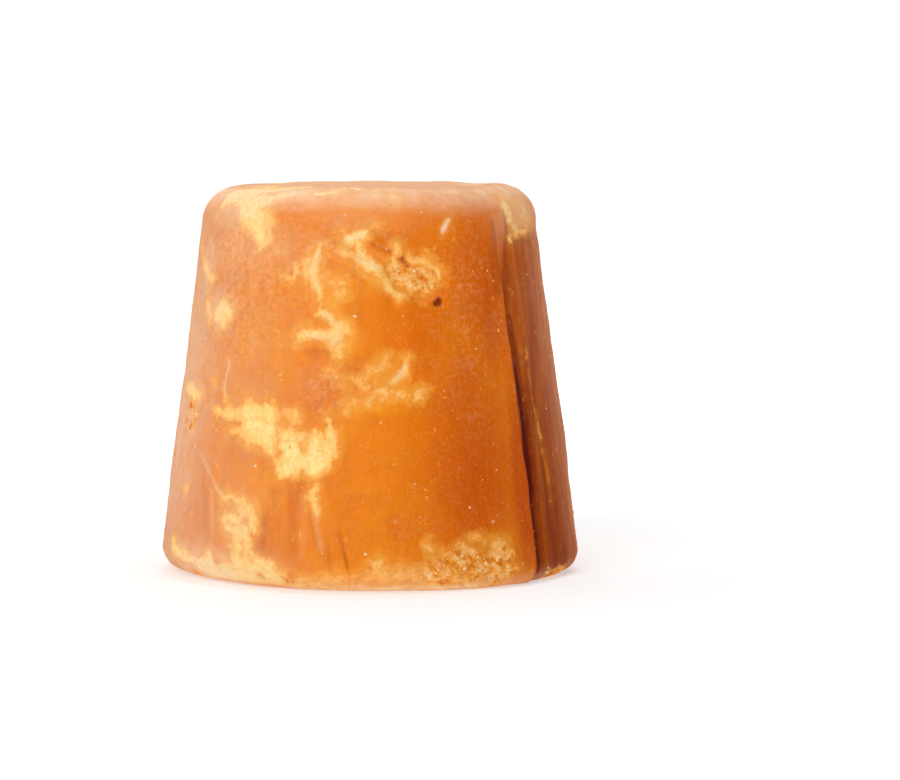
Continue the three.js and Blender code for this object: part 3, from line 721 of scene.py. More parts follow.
# Threads and bands that strengthen a field, as (field, strength, [(angle, height, width), ...]).
THREADS = [
    # Most dark threads are painted shade and shadow over dark syrup: along the folds' lines and strips, under
    # the flake's lip, along creases and cracks, in the scoop and round the hooked patch.
    ("dark", 0.42, [(53.5, 86, 0.2), (53, 80, 2), (52.5, 75, 4), (51.5, 67.5, 4), (51, 60, 3)]),
    ("dark", 0.7, [(52, 66, 0.4), (52.5, 60, 1.6), (53.2, 55, 2.2), (54, 48, 2.4)]),
    ("dark", 1.1, [(53.5, 54, 0.6), (54.5, 45.5, 2), (55, 35.5, 3.4), (55.5, 25.5, 4), (55.8, 12, 4),
        (55.5, 3, 3)]),
    ("dark", 0.72, [(53, 66, 1), (54, 55, 3), (55, 45.5, 5), (56, 35.5, 6.5), (56.5, 20, 7.5),
        (56.5, 4, 7)]),
    ("dark", 0.65, [(50.4, 58, 0.3), (50.8, 50, 1), (51.2, 42, 1.3), (51.7, 34, 1), (52.1, 26, 0.5)]),
    ("dark", 0.5, [(62.5, 47, 1), (67, 39.5, 1.4), (68.5, 29.5, 1.6), (70, 22, 2)]),
    ("dark", 0.26, [(47, 89, 1.2), (47, 84, 4), (46.5, 79, 4.5), (46, 72, 2.4)]),
    ("dark", 0.4, [(54.5, 92, 0.6), (54.5, 88.5, 1.2), (55, 84, 0.8)]),
    ("dark", 0.4, [(60.5, 84.3, 0.6), (64, 84, 0.8), (70, 83.7, 0.8)]),
    ("dark", 0.35, [(73, 69, 0.4), (77, 70, 0.6), (82, 70.5, 0.6)]),
    ("dark", 0.16, [(-15, 19, 0.4), (-14, 14, 0.6), (-12.5, 11, 0.6), (-11, 8, 0.6)]),
    ("dark", 0.12, [(-7.5, 15, 0.4), (-7, 11.5, 0.6), (-5.5, 8.5, 0.6), (-4.5, 5, 0.6)]),
    ("dark", 0.15, [(-29, 18, 1.2), (-28.5, 13.5, 1.6), (-30, 10.5, 1.6), (-27.5, 8, 1.2)]),
    ("dark", 0.16, [(-40.5, 10, 0.8), (-39.5, 7.5, 1.2), (-40, 6, 0.8)]),
    ("dark", 0.16, [(-53.5, 28, 1), (-52, 21, 1.4), (-50, 10, 1.4)]),
    ("dark", 0.25, [(-34.5, 19, 0.6), (-34, 18, 0.8), (-34.5, 16.5, 0.6)]),
    ("dark", 0.25, [(-23.5, 2.5, 0.6), (-21, 3, 0.6)]),
    ("dark", 0.12, [(-18, 58.2, 1), (-11, 58.4, 1.2)]),
    ("dark", 0.26, [(1.5, 84.5, 0.2), (4.5, 83.5, 0.3), (8, 82.3, 0.4)]),
    ("dark", 0.4, [(9.5, 82, 0.6), (12, 80.5, 0.8), (13.5, 79, 0.6)]),
    ("dark", 0.2, [(1, 6.5, 0.6), (2.5, 6.5, 0.6)]),
    ("dark", 0.9, [(214, 66, 0.6), (209.5, 50, 1.8), (207.5, 35, 2.6), (206.3, 20, 3.2), (206, 4, 3.4)]),
    ("dark", 0.7, [(122, 55, 0.6), (123.8, 35, 1.8), (124.8, 20, 2.4), (125, 4, 2.6)]),
    ("dark", 0.3, [(286.5, 45, 0.5), (287.3, 30, 1.2), (288, 15, 1.6), (288, 4, 1.6)]),
    # Gold threads past the fold are painted highlights along the fold's ridges.
    ("gold", 0.2, [(58, 74, 1.4), (57, 64.5, 1.6), (57, 57.5, 1.6), (58, 50, 1.4)]),
    ("gold", 0.5, [(60, 52, 1), (62.5, 42.5, 1.2), (63.8, 37, 1.2), (64.5, 32, 1), (66, 24.5, 0.8)]),
    ("gold", 0.15, [(70, 60, 0.8), (71, 30, 1.2), (71, 10, 1)]),
    ("deep", 0.5, [(-21, 27, 1.4), (-20.5, 20, 1.6), (-20, 13, 1.6), (-20, 5, 2.2)]),
    # The next four bloom threads are painted highlights: light bands beside creases and satin folds low on
    # the front and the left.
    ("bloom", 0.25, [(-14, 19.5, 0.8), (-13, 15.5, 1), (-12, 11, 0.8)]),
    ("bloom", 0.15, [(-17.5, 22.5, 1.6), (-17, 15.5, 2), (-17, 9, 1.8)]),
    ("bloom", 0.5, [(-57, 32.5, 0.4), (-53, 29.5, 0.6), (-49, 26.5, 0.6), (-46.5, 24, 0.6),
        (-43.5, 22, 0.4)]),
    ("bloom", 0.35, [(-49, 23, 1), (-47.5, 16, 1.4), (-46, 10, 1.2)]),
    ("bloom", 0.9, [(-47.5, 56, 0.1), (-46.5, 54, 0.2), (-47.5, 52, 0.1), (-48, 49.5, 0.2),
        (-47.5, 47, 0.3)]),
    ("bloom", 0.6, [(-6, 85.5, 1), (-4, 85.8, 1.6), (-1.5, 86.3, 1.2)]),
    ("bloom", 0.5, [(-16, 82, 0.6), (-17.5, 78, 0.8), (-16, 73.5, 0.6)]),
    ("bloom", 0.5, [(-2, 81, 1), (0.5, 79.5, 1.4), (3, 78.5, 1)]),
    ("bloom", 0.4, [(-13, 67.5, 1), (-8.5, 64, 1.4), (-9.5, 61, 1.6), (-18, 62.5, 0.8)]),
    ("bloom", 0.4, [(9, 51.5, 0.8), (12, 55, 0.6)]),
    ("bloom", 1.4, [(25.9, 87, 0.35), (26.3, 87.6, 0.6), (27.2, 88.5, 0.7), (28.4, 89.8, 0.35)]),
]
GOLD_AND_HIGHLIGHT_CLEARS = 0.7
THREAD_CORE = 0.3
THREAD_SOFT, THREAD_SOFT_MOST = 0.35, 0.8
spread = {"dark": dark, "gold": gold, "deep": deep, "bloom": bloom}
for name, strength, knots in THREADS:
    for half, away in chain(knots, angle, along):
        soft = np.minimum(half + THREAD_SOFT, THREAD_SOFT_MOST)
        share = strength * (1 - smoothstep(away, half * THREAD_CORE, half + soft))
        spread[name] = np.maximum(spread[name], share)
        spread["dark"] = spread["dark"] * (1 - GOLD_AND_HIGHLIGHT_CLEARS * share * (name == "gold"))
dark, gold, deep, bloom = spread.values()

# %% Small pits, as (angle, height, radius, depth)
PITS = [
    (23.7, 70.4, 0.8, 0.68),
    (22.8, 69.8, 0.85, 0.68),
    (23.9, 69.6, 0.65, 0.6),
    (-62.5, 74.5, 0.6, 0.25),
    (-35.5, 88.7, 0.6, 0.15),
    (-24.7, 77, 0.6, 0.2),
    (9, 75, 0.5, 0.15),
    (8.5, 73, 0.6, 0.15),
    (0.5, 79, 0.4, 0.1),
    (15, 71.1, 0.6, 0.2),
]
# PIT_DARK paints each pit darker the deeper it is: painted shade, with dark syrup in the pits.
PIT_DARK = 1.25
pit_dip = np.zeros_like(height)
for at, up, size, depth in PITS:
    away = np.linalg.norm(point - place(at, BASE_RADIUS - TAPER * up, up), axis=-1) / size
    hole = np.exp(-away**4)
    pit_dip = np.maximum(pit_dip, depth * hole)
    dark = np.maximum(dark, PIT_DARK * depth * hole)

# %% Cracks and creases, as (angle, height, length, width, tilt, depth)
CREASES = [
    (5.7, 82.2, 11, 1.0, -22, 0.25),
    (-14.2, 58.5, 6, 1.0, -7, 0.12),
    (-42.3, 38.5, 26, 0.9, -82, 0.2),
    (-51.5, 27.5, 14, 0.9, -43, 0.12),
    (-49.3, 16, 15, 0.6, -82, 0.15),
    (-5.7, 10.6, 16, 1.2, -78, 0.35),
    (-9.8, 9.6, 13, 1.1, -85, 0.3),
    (-26.2, 22.2, 15, 1.3, -83, 0.2),
    (-33.2, 55.2, 17, 1.3, -85, 0.15),
]
CREASE_STEEP = 2
CREASE_DARK, DARKEST = 0.8, 1.3
crease_dip = np.zeros_like(height)
for mark, off, near in inside_marks(point, CREASES):
    crease_dip = np.maximum(crease_dip, mark[5] * np.exp(-(off**2) * CREASE_STEEP) * near)
# Creases are painted darker by their depth: painted shade.
dark = np.clip(dark + CREASE_DARK * crease_dip, 0, DARKEST)

# Lumps that stand out, as (angle, height, length, width, tilt, rise).
LUMPS = [(5.5, 84.6, 11, 5, -16, 0.4), (-7.8, 78.6, 7, 7, 0, 0.35), (5.5, 76.5, 12, 3.4, -62, 0.6)]
LUMP_EDGE = (0.75, 1.1)
lump_rise = np.zeros_like(height)
for mark, off, near in inside_marks(point, LUMPS):
    lump_rise = np.maximum(lump_rise, mark[5] * (1 - smoothstep(off, *LUMP_EDGE)) * near)

# %% Crumbly places, as (angle, height, length, width, tilt, strength)
CRUMBLY = [
    (16, 75.8, 15, 9, -12, 0.9),
    (26, 6, 22, 9, 4, 1),
    (38, 6, 14, 10, 10, 1),
    (-62, 6, 14, 7, 20, 0.25),
    (-66, 41, 8, 14, 90, 0.5),
    (178, 49, 10, 7, 10, 0.8),
    (237, 80, 10, 6, -10, 0.8),
    (260, 35, 9, 8, 30, 0.8),
    (106, 72, 9, 12, 0, 0.7),
]
CRUMBLY_EDGE = (0.6, 1.15)
RIM_HEIGHTS = (2, 6)
RIM_PATCH, RIM_SEED, RIM_EDGE = 22, 3, (-0.4, 0.6)
RIM_SHARE, RIM_FROM = 0.8, 60
crumbly = np.zeros_like(height)
ragged = point + layers(point, RAGGED, RAGGED_SEED)[..., None]
for mark, off, near in inside_marks(ragged, CRUMBLY):
    crumbly = np.maximum(crumbly, mark[5] * (1 - smoothstep(off, *CRUMBLY_EDGE)) * near)
far_rim = 1 - smoothstep(height, *RIM_HEIGHTS)
far_rim = far_rim * smoothstep(noise(point, RIM_PATCH, RIM_SEED), *RIM_EDGE) * RIM_SHARE
crumbly = np.maximum(crumbly, far_rim * (np.abs(angle) > RIM_FROM))

# %% [markdown]
# ## The surface as a mesh
# The fine relief goes on top of the solid's: the weave of unevenness on the skin, pleats of the cloth
# running up the side, the dips under patches with a rough floor, and the crumbs of broken places.

# %% Fine relief
SKIN_GRAIN, SKIN_SEED = [(7, 0.07), (3, 0.03)], 13
CRUMB_GRAIN, CRUMB_SEED = [(3.2, 0.22), (1.7, 0.14)], 17
FLOOR_GRAIN, FLOOR_SEED = [(2.6, 0.1), (1.5, 0.06)], 15
FLOOR_FULL = 0.8
PLEATS = [(31, 0.09), (53, 0.06), (89, 0.04)]
PLEAT_WANDER, PLEAT_WANDER_LENGTH = 0.9, 17
PLEAT_ENDS = (82, 94)
COVER_PATCH, COVER_SEED, COVER_EDGE = 45, 21, (-0.5, 0.8)


def pleats(angle, height):
    """Waves round the block, whose crests wander a little with height and which die out on the shoulder."""
    total = 0
    for i, (count, rise) in enumerate(PLEATS):
        wander = PLEAT_WANDER * np.sin(height / PLEAT_WANDER_LENGTH + 2 * i)
        total = total + rise * np.sin(np.radians(count * angle) + wander + 3 * i)
    return total * (1 - smoothstep(height, *PLEAT_ENDS))


cover = smoothstep(noise(point, COVER_PATCH, COVER_SEED), *COVER_EDGE)
fine = layers(point, SKIN_GRAIN, SKIN_SEED) + pleats(angle, height) * cover
fine = fine - pale_dip - pit_dip - crease_dip + lump_rise
fine = fine + layers(point, FLOOR_GRAIN, FLOOR_SEED) * smoothstep(pale, 0, FLOOR_FULL)
fine = fine + layers(point, CRUMB_GRAIN, CRUMB_SEED) * crumbly
total_relief = relief + fine

turn = np.maximum(LEAN, np.arctan2(height - SHOULDER_HEIGHT, radius - SHOULDER_RADIUS))
turn = np.where(radius < SHOULDER_RADIUS, math.pi / 2, turn)
low = height < EDGE_ROUND
push_out = np.where(low, 1.0, np.cos(turn))
push_up = np.where(low, 0.0, np.sin(turn))
surface = place(angle, radius + total_relief * push_out, height + total_relief * push_up)
print("surface of", surface.shape[0] * surface.shape[1], "points")

# %% Mesh from the grid
MM = 0.001


def closed_mesh(name, rows, bottom, top, fields):
    """Quads between neighbouring rows, joined round the last column, with a fan of triangles to each pole."""
    count, columns = rows.shape[:2]
    vertices = np.concatenate([[bottom], rows.reshape(-1, 3), [top]]) * MM
    index = 1 + np.arange(count * columns).reshape(count, columns)
    here, there = index[:-1], index[1:]
    quads = np.stack([here, np.roll(here, -1, 1), np.roll(there, -1, 1), there], axis=-1).reshape(-1, 4)
    first, last = index[0], index[-1]
    low_fan = np.stack([np.zeros_like(first), np.roll(first, -1), first], axis=-1)
    high_fan = np.stack([np.full_like(last, len(vertices) - 1), last, np.roll(last, -1)], axis=-1)
    mesh = bpy.data.meshes.new(name)
    mesh.from_pydata(vertices.tolist(), [], quads.tolist() + low_fan.tolist() + high_fan.tolist())
    for field, values in fields.items():
        flat = values.reshape(count * columns, -1)
        ends = np.concatenate([flat[:1], flat, flat[-1:]]).astype(np.float32)
        kind, key = ("FLOAT_VECTOR", "vector") if flat.shape[1] == 3 else ("FLOAT", "value")
        mesh.attributes.new(field, kind, "POINT").data.foreach_set(key, ends.ravel())
    mesh.shade_smooth()
    mesh.update()
    piece = bpy.data.objects.new(name, mesh)
    bpy.context.scene.collection.objects.link(piece)
    return piece


def with_base(values, inner):
    """Rows inside the base's edge, put before the rows of the grid."""
    return np.concatenate([inner, values])


FLOW_RADIUS, FLOW_STRETCH = 48.0, 7
MIDDLE_RISE = 0.01
flow = place(angle, FLOW_RADIUS, height / FLOW_STRETCH)
base_rows = np.stack([surface[0] * ring for ring in BASE_RINGS])
fields = {"pale": pale, "dark": dark, "crumbly": crumbly, "flow": flow}
fields |= {"haze": haze, "bloom": bloom, "speckle": speckle, "gold": gold, "deep": deep, "streaky": streaky}
fields = {k: with_base(v, np.repeat(v[:1], len(BASE_RINGS), 0)) for k, v in fields.items()}
top_middle = surface[-1].mean(0) + [0, 0, MIDDLE_RISE]
block = closed_mesh("jaggery_body", with_base(surface, base_rows), np.zeros(3), top_middle, fields)
print("block of", len(block.data.polygons), "faces")

# %% [markdown]
# ## Materials
# One function turns the hex colours into the linear ones that the renderer works in, and one adds a node
# with its settings and links. Patterns are sized in millimetres, so that a number is a real grain.

# %% Colour and node helpers


def colour(hex_value):
    """sRGB hex to linear: divide by 12.92 below 0.04045, else ((c + 0.055) / 1.055) to the power 2.4."""
    channels = [int(hex_value[i : i + 2], 16) / 255 for i in (1, 3, 5)]
    return [c / 12.92 if c < 0.04045 else ((c + 0.055) / 1.055) ** 2.4 for c in channels] + [1]


def add(tree, kind, settings):
    """One node. A setting is an input's value, an output to link to that input, or a property of the node."""
    node = tree.nodes.new(kind)
    for key, value in settings.items():
        if isinstance(value, bpy.types.NodeSocket):
            tree.links.new(value, node.inputs[key])
        elif isinstance(key, int) or key in node.inputs:
            node.inputs[key].default_value = value
        else:
            setattr(node, key, value)
    return node


NOISE = "ShaderNodeTexNoise"
VORONOI = "ShaderNodeTexVoronoi"
MATH = "ShaderNodeMath"
VECTOR_MATH = "ShaderNodeVectorMath"
MIX = "ShaderNodeMix"
RANGE = "ShaderNodeMapRange"
ATTRIBUTE = "ShaderNodeAttribute"
SMOOTH = {"interpolation_type": "SMOOTHSTEP"}

# %% [markdown]
# ### Jaggery
# The skin is dense sugar: a saturated amber that scatters light a little way in, waxy rather than glossy.
# Bloom, which is a film of dry sugar, lightens and dulls it; the haze over it is partly painted sheen. Pale
# patches go through gold to cream as the dense sugar gives out, and break up along their edges. Folds hold
# dark syrup, painted darker still as their shade. The fields that were stored on the mesh and the noises
# below are all shares, and a layer is laid where its shares multiply.

# %% Jaggery: fields and coordinates
jaggery = bpy.data.materials.new("cane_jaggery")
jaggery.use_nodes = True
tree = jaggery.node_tree
tree.nodes.clear()
share_of = {name: add(tree, ATTRIBUTE, {"attribute_name": name}).outputs["Fac"] for name in fields}
flow_mm = add(tree, ATTRIBUTE, {"attribute_name": "flow"}).outputs["Vector"]
object_place = add(tree, "ShaderNodeTexCoord", {}).outputs["Object"]
place_mm = add(tree, VECTOR_MATH, {"operation": "SCALE", 0: object_place, "Scale": 1 / MM}).outputs[0]

# %% Jaggery: noises, as name: (coordinates, size in mm, detail, coarseness, from (low, high), to (low, high))
NOISES = {
    "broad": (place_mm, 22, 4, 0.55, (0.35, 0.65), (0, 1)),
    "blotch": (place_mm, 7, 5, 0.6, (0.5, 0.75), (0, 1)),
    "pulled": (flow_mm, 5, 4, 0.6, (0.4, 0.7), (0, 1)),
    "fine_pull": (flow_mm, 1.4, 4, 0.6, (0.4, 0.7), (0, 1)),
    "broken": (place_mm, 4, 4, 0.6, (0.3, 0.55), (0, 1)),
    "pooled": (flow_mm, 2.6, 4, 0.5, (0.3, 0.7), (0.8, 1.4)),
    "tear": (place_mm, 3, 6, 0.6, (0.3, 0.7), (0, 1)),
    "fray": (place_mm, 0.9, 4, 0.6, (0.3, 0.7), (0, 1)),
    "drag": (flow_mm, 1.5, 4, 0.6, (0.3, 0.7), (0, 1)),
    "mottle": (place_mm, 1.6, 4, 0.6, (0.44, 0.64), (0, 1)),
    "ochre": (place_mm, 1.0, 5, 0.7, (0.5, 0.75), (0, 1)),
    "clumps": (place_mm, 2.2, 5, 0.62, (0.32, 0.68), (0, 1)),
    "cloud": (place_mm, 3.5, 6, 0.65, (0.3, 0.7), (0.8, 1.8)),
    "dots": (place_mm, 1.2, 4, 0.6, (0.47, 0.66), (0, 1)),
    "grit": (place_mm, 0.55, 2, 0.5, (0.56, 0.72), (0, 1)),
    "sown": (place_mm, 9, 3, 0.6, (0.35, 0.6), (0.3, 1.3)),
    "grain": (place_mm, 0.8, 5, 0.7, (0, 1), (-0.03, 0.03)),
    "dry_grain": (place_mm, 0.9, 6, 0.7, (0, 1), (-0.09, 0.09)),
}
for name, (where, size_mm, detail, coarse, old, new) in NOISES.items():
    grain = {"Vector": where, "Scale": 1 / size_mm, "Detail": detail, "Roughness": coarse}
    noise_grey = add(tree, NOISE, grain).outputs["Fac"]
    ends = {"From Min": old[0], "From Max": old[1], "To Min": new[0], "To Max": new[1]}
    share_of[name] = add(tree, RANGE, {"Value": noise_grey, **ends}).outputs[0]

# %% Jaggery: how far a point lies inside a pale patch or a crumbly place, in mm that the noises shift
WANDER = {"tear": 1.7, "fray": 1.1, "drag": 0.4}
middle = sum(WANDER.values()) / 2
pale_at, crumb_at = share_of["pale"], share_of["crumbly"]
for name, far in WANDER.items():
    shift = {"operation": "MULTIPLY_ADD", 0: share_of[name]}
    pale_at = add(tree, MATH, {**shift, 1: far, 2: pale_at}).outputs[0]
    crumb_at = add(tree, MATH, {**shift, 1: far / 2, 2: crumb_at}).outputs[0]
syrup_and_shade = add(tree, MATH, {"operation": "MULTIPLY", 0: share_of["dark"], 1: share_of["pooled"]}).outputs[0]

# %% Jaggery: shares that rise smoothly, as name: (value, where it starts, where it ends)
RISES = {
    "halo": (pale_at, middle - 3.4, middle - 1.2),
    "patch": (pale_at, middle - 1.45, middle + 0.05),
    "solid_patch": (pale_at, middle + 0.2, middle + 1.2),
    "crumb": (crumb_at, middle / 2 + 0.25, middle / 2 + 0.75),
    "thin_syrup": (syrup_and_shade, 0.0, 0.6),
    "thick_syrup": (syrup_and_shade, 0.5, 1.3),
}
for name, (value, low, high) in RISES.items():
    rise = {**SMOOTH, "Value": value, "From Min": low, "From Max": high}
    share_of[name] = add(tree, RANGE, rise).outputs[0]
dryness = add(tree, RANGE, {"Value": pale_at, "From Min": middle - 1.8, "From Max": middle + 2.6}).outputs[0]

# %% Jaggery: flecks, each in a cell that noise has bent, if the cell's chance number is low enough
FLECK_CELL = 2.4
FLECK_BEND, FLECK_BEND_SIZE = 0.6, 0.8
bend = add(tree, NOISE, {"Vector": place_mm, "Scale": 1 / FLECK_BEND_SIZE, "Detail": 2}).outputs["Color"]
shift = {"operation": "MULTIPLY_ADD", 0: bend, 1: (FLECK_BEND,) * 3, 2: place_mm}
bent = add(tree, VECTOR_MATH, shift).outputs[0]
cells = add(tree, VORONOI, {"Vector": bent, "Scale": 1 / FLECK_CELL})
chance = add(tree, "ShaderNodeSeparateColor", {0: cells.outputs["Color"]})
limit = add(tree, RANGE, {"Value": share_of["speckle"], "To Min": 0.02, "To Max": 0.13}).outputs[0]
share_of["chosen"] = add(tree, MATH, {"operation": "LESS_THAN", 0: chance.outputs[0], 1: limit}).outputs[0]
reach = add(tree, RANGE, {"Value": chance.outputs[1], "To Min": 0.05, "To Max": 0.2}).outputs[0]
inside = add(tree, MATH, {"operation": "SUBTRACT", 0: reach, 1: cells.outputs["Distance"]}).outputs[0]
rise = {**SMOOTH, "Value": inside, "From Min": -0.08, "From Max": 0.12}
share_of["fleck"] = add(tree, RANGE, rise).outputs[0]

# %% Jaggery: colours that go through several stops
STOPS = {
    "sugar": (dryness, [(0, "#ec8828"), (0.2, "#f2973c"), (0.38, "#faac54"), (0.52, "#ffc26a"),
        (0.66, "#ffd27c"), (0.82, "#ffdc86"), (1, "#ffe9a0")]),
    "crumb": (share_of["clumps"], [(0, "#d0660a"), (0.3, "#ee8e28"), (0.5, "#fcaa46"), (0.7, "#ffc070"),
        (1, "#ffdfa6")]),
}
paint_of = {}
for name, (value, stops) in STOPS.items():
    ramp = add(tree, "ShaderNodeValToRGB", {"Fac": value})
    for position, _ in stops[1:-1]:
        ramp.color_ramp.elements.new(position)
    for element, (position, hex_value) in zip(ramp.color_ramp.elements, stops):
        element.position = position
        element.color = colour(hex_value)
    paint_of[name] = ramp.outputs[0]

# %% Jaggery: layers of colour, as (colour, strength, the shares that multiply)
AMBER = "#ec7804"
LAYERS = [
    ("#f0860c", 1, ["broad"]),
    ("#d8660a", 0.5, ["blotch"]),
    # Deep amber, and painted shade on the right front.
    ("#cc5202", 0.85, ["deep"]),
    ("#c85c08", 0.5, ["pulled", "streaky"]),
    ("#f09638", 0.3, ["fine_pull", "streaky"]),
    # Gold: golden thin skin, and painted highlights on fold ridges and the base's edge.
    ("#f6a020", 1, ["gold", "broken"]),
    ("#f8ac40", 0.5, ["halo", "sown"]),
    ("#ffbe80", 0.16, ["grit"]),
    ("#ffcc9c", 0.45, ["fleck", "chosen"]),
    # Thin syrup: dark syrup past the folds, and the painted shade of the brown strips.
    ("#a04006", 1, ["thin_syrup"]),
    # Mauve haze: dry bloom, and painted sheen towards the edges.
    ("#d2b6a4", 0.36, ["haze", "cloud"]),
    ("#c08060", 0.28, ["blotch", "speckle"]),
    ("#b8641e", 0.42, ["mottle", "speckle"]),
    ("#f4b078", 0.55, ["dots", "speckle", "sown"]),
    # Bloom: the dry sugar film, and painted highlights on satin folds and painted bounce light along the
    # base.
    ("#fad0a8", 0.5, ["bloom", "cloud"]),
    # Thick syrup: dark syrup in the folds' lines and the pits, and their painted shadow.
    ("#661604", 1, ["thick_syrup"]),
    ("sugar", 1, ["patch"]),
    ("#fddcaa", 0.8, ["bloom", "cloud", "patch"]),
    ("#eca04a", 0.34, ["ochre", "solid_patch"]),
    ("#f2a850", 0.26, ["mottle", "solid_patch"]),
    ("crumb", 0.9, ["crumb"]),
]
skin = colour(AMBER)
for paint, strength, names in LAYERS:
    share = strength
    for name in names:
        multiply = {"operation": "MULTIPLY", "use_clamp": name == names[-1], 0: share, 1: share_of[name]}
        share = add(tree, MATH, multiply).outputs[0]
    over = paint_of[paint] if paint in paint_of else colour(paint)
    skin = add(tree, MIX, {"data_type": "RGBA", 0: share, 6: skin, 7: over}).outputs[2]
print("layers of colour", len(LAYERS), "from", len(share_of), "shares")

# %% Jaggery: gloss and fine grain
dry = add(tree, MATH, {"operation": "MAXIMUM", 0: share_of["patch"], 1: share_of["crumb"]}).outputs[0]
dulled = {"operation": "MULTIPLY_ADD", "use_clamp": True, 0: share_of["haze"], 1: 0.5, 2: dry}
dull = add(tree, MATH, dulled).outputs[0]
roughness = add(tree, RANGE, {"Value": dull, "To Min": 0.45, "To Max": 0.9}).outputs[0]
dry_mm = add(tree, MATH, {"operation": "MULTIPLY", 0: share_of["dry_grain"], 1: dry}).outputs[0]
height_mm = add(tree, MATH, {"operation": "ADD", 0: share_of["grain"], 1: dry_mm}).outputs[0]
bump = add(tree, "ShaderNodeBump", {"Height": height_mm, "Strength": 1.0, "Distance": MM}).outputs[0]
finish = {
    "Base Color": skin,
    "Roughness": roughness,
    "Normal": bump,
    "IOR": 1.5,
    "Specular IOR Level": 0.03,
    "Subsurface Weight": 0.15,
    "Subsurface Radius": (1.0, 0.35, 0.08),
    "Subsurface Scale": 3 * MM,
}
shader = add(tree, "ShaderNodeBsdfPrincipled", finish)
add(tree, "ShaderNodeOutputMaterial", {"Surface": shader.outputs[0]})
block.data.materials.append(jaggery)

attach(block, "root")
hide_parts("jaggery_block")

# %% [markdown]
# ## Crumbs
# Where the block is broken it sheds crumbs, hard bits of sugar with flat faces, and many stay stuck where
# they lie. Each one is a ball of twenty triangles whose corners are pushed in and out by chance, and it is
# sunk a little into the surface. They are all worked out together as one array and kept in one mesh.

# %% Crumbs: where they lie
CRUMBS = 900
SKIN_SHARE, PATCH_SHARE = 0.006, 0.02
BROKEN_FROM, CLEAR_OF_DARK = (0.4, 0.9), (0.15, 0.5)
CLEAR_OF_FLOOR = 1.6
HIGHEST = SHOULDER_HEIGHT + 0.7 * SHOULDER_ROUND
column_step = np.gradient(closer)
row_step = np.gradient(run)[:, None]
area = radius * np.radians(column_step) * row_step
broken = smoothstep(crumbly, *BROKEN_FROM)
chance_here = area * (broken + PATCH_SHARE * smoothstep(pale, 0, 1) + SKIN_SHARE)
chance_here = chance_here * (height > CLEAR_OF_FLOOR) * (height < HIGHEST)
chance_here = chance_here * (1 - smoothstep(dark, *CLEAR_OF_DARK))
chosen = rng.choice(chance_here.size, CRUMBS, replace=False, p=(chance_here / chance_here.sum()).ravel())
print("crumbs", CRUMBS, "of which in broken places", int((crumbly.ravel()[chosen] > 0.5).sum()))

# %% Crumbs: their shapes
SMALLEST, LARGER_UP_TO, MOSTLY_SMALL = 0.2, 0.4, 3
CORNER_SPREAD, AXIS_SPREAD = (0.75, 1.15), (0.7, 1.1)
SUNK = 0.3
PALE_TONE = 0.7
ball = bmesh.new()
bmesh.ops.create_icosphere(ball, subdivisions=1, radius=1)
ball_mesh = bpy.data.meshes.new("ball")
ball.to_mesh(ball_mesh)
ball.free()
corners = np.zeros(3 * len(ball_mesh.vertices))
ball_mesh.vertices.foreach_get("co", corners)
corners = corners.reshape(-1, 3)
faces = np.zeros(3 * len(ball_mesh.polygons), int)
ball_mesh.polygons.foreach_get("vertices", faces)
faces = faces.reshape(-1, 3)
bpy.data.meshes.remove(ball_mesh)


def crumb_points(middles, outward):
    """Corners times a chance length, squashed by chance along each axis, turned by a chance rotation, times
    the crumb's size, and put with the middle a share of that size below the surface."""
    count = len(middles)
    size = SMALLEST + LARGER_UP_TO * rng.random((count, 1, 1)) ** MOSTLY_SMALL
    lumpy = corners * rng.uniform(*CORNER_SPREAD, (count, len(corners), 1))
    lumpy = lumpy * rng.uniform(*AXIS_SPREAD, (count, 1, 3))
    turned, _ = np.linalg.qr(rng.normal(size=(count, 3, 3)))
    turned[:, :, 0] *= np.linalg.det(turned)[:, None]
    middles = middles[:, None] - outward[:, None] * size * SUNK
    return middles + size * lumpy @ turned


away_flat = place(angle, push_out, push_up)
points = crumb_points(surface.reshape(-1, 3)[chosen], away_flat.reshape(-1, 3)[chosen])
crumb_faces = faces + len(corners) * np.arange(CRUMBS)[:, None, None]
crumb_mesh = bpy.data.meshes.new("loose_crumbs")
crumb_mesh.from_pydata((points.reshape(-1, 3) * MM).tolist(), [], crumb_faces.reshape(-1, 3).tolist())
tone = np.maximum(rng.random(CRUMBS), PALE_TONE * (pale.ravel()[chosen] > 0))
tone = np.repeat(tone, len(corners)).astype(np.float32)
crumb_mesh.attributes.new("tone", "FLOAT", "POINT").data.foreach_set("value", tone)
crumb_mesh.update()
crumbs = bpy.data.objects.new("loose_crumbs", crumb_mesh)
bpy.context.scene.collection.objects.link(crumbs)
print("crumbs of", len(crumb_mesh.polygons), "faces, lowest", (points[..., 2].min()).round(2), "mm")

# %% [markdown]
# ### Broken sugar
# A crumb is the block's dry inside: opaque, matt, and anything from amber to cream, one tone to a crumb.

# %% Broken sugar
broken_sugar = bpy.data.materials.new("broken_cane_sugar")
broken_sugar.use_nodes = True
tree = broken_sugar.node_tree
tree.nodes.clear()
one_tone = add(tree, ATTRIBUTE, {"attribute_name": "tone"}).outputs["Fac"]
ramp = add(tree, "ShaderNodeValToRGB", {"Fac": one_tone})
TONES = [(0, "#d87c1c"), (0.45, "#f4a850"), (1, "#ffdca4")]
ramp.color_ramp.elements.new(TONES[1][0])
for element, (position, hex_value) in zip(ramp.color_ramp.elements, TONES):
    element.position = position
    element.color = colour(hex_value)
finish = {"Base Color": ramp.outputs[0], "Roughness": 0.85, "IOR": 1.5, "Specular IOR Level": 0.2}
shader = add(tree, "ShaderNodeBsdfPrincipled", finish)
add(tree, "ShaderNodeOutputMaterial", {"Surface": shader.outputs[0]})
crumb_mesh.materials.append(broken_sugar)
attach(crumbs, "root")

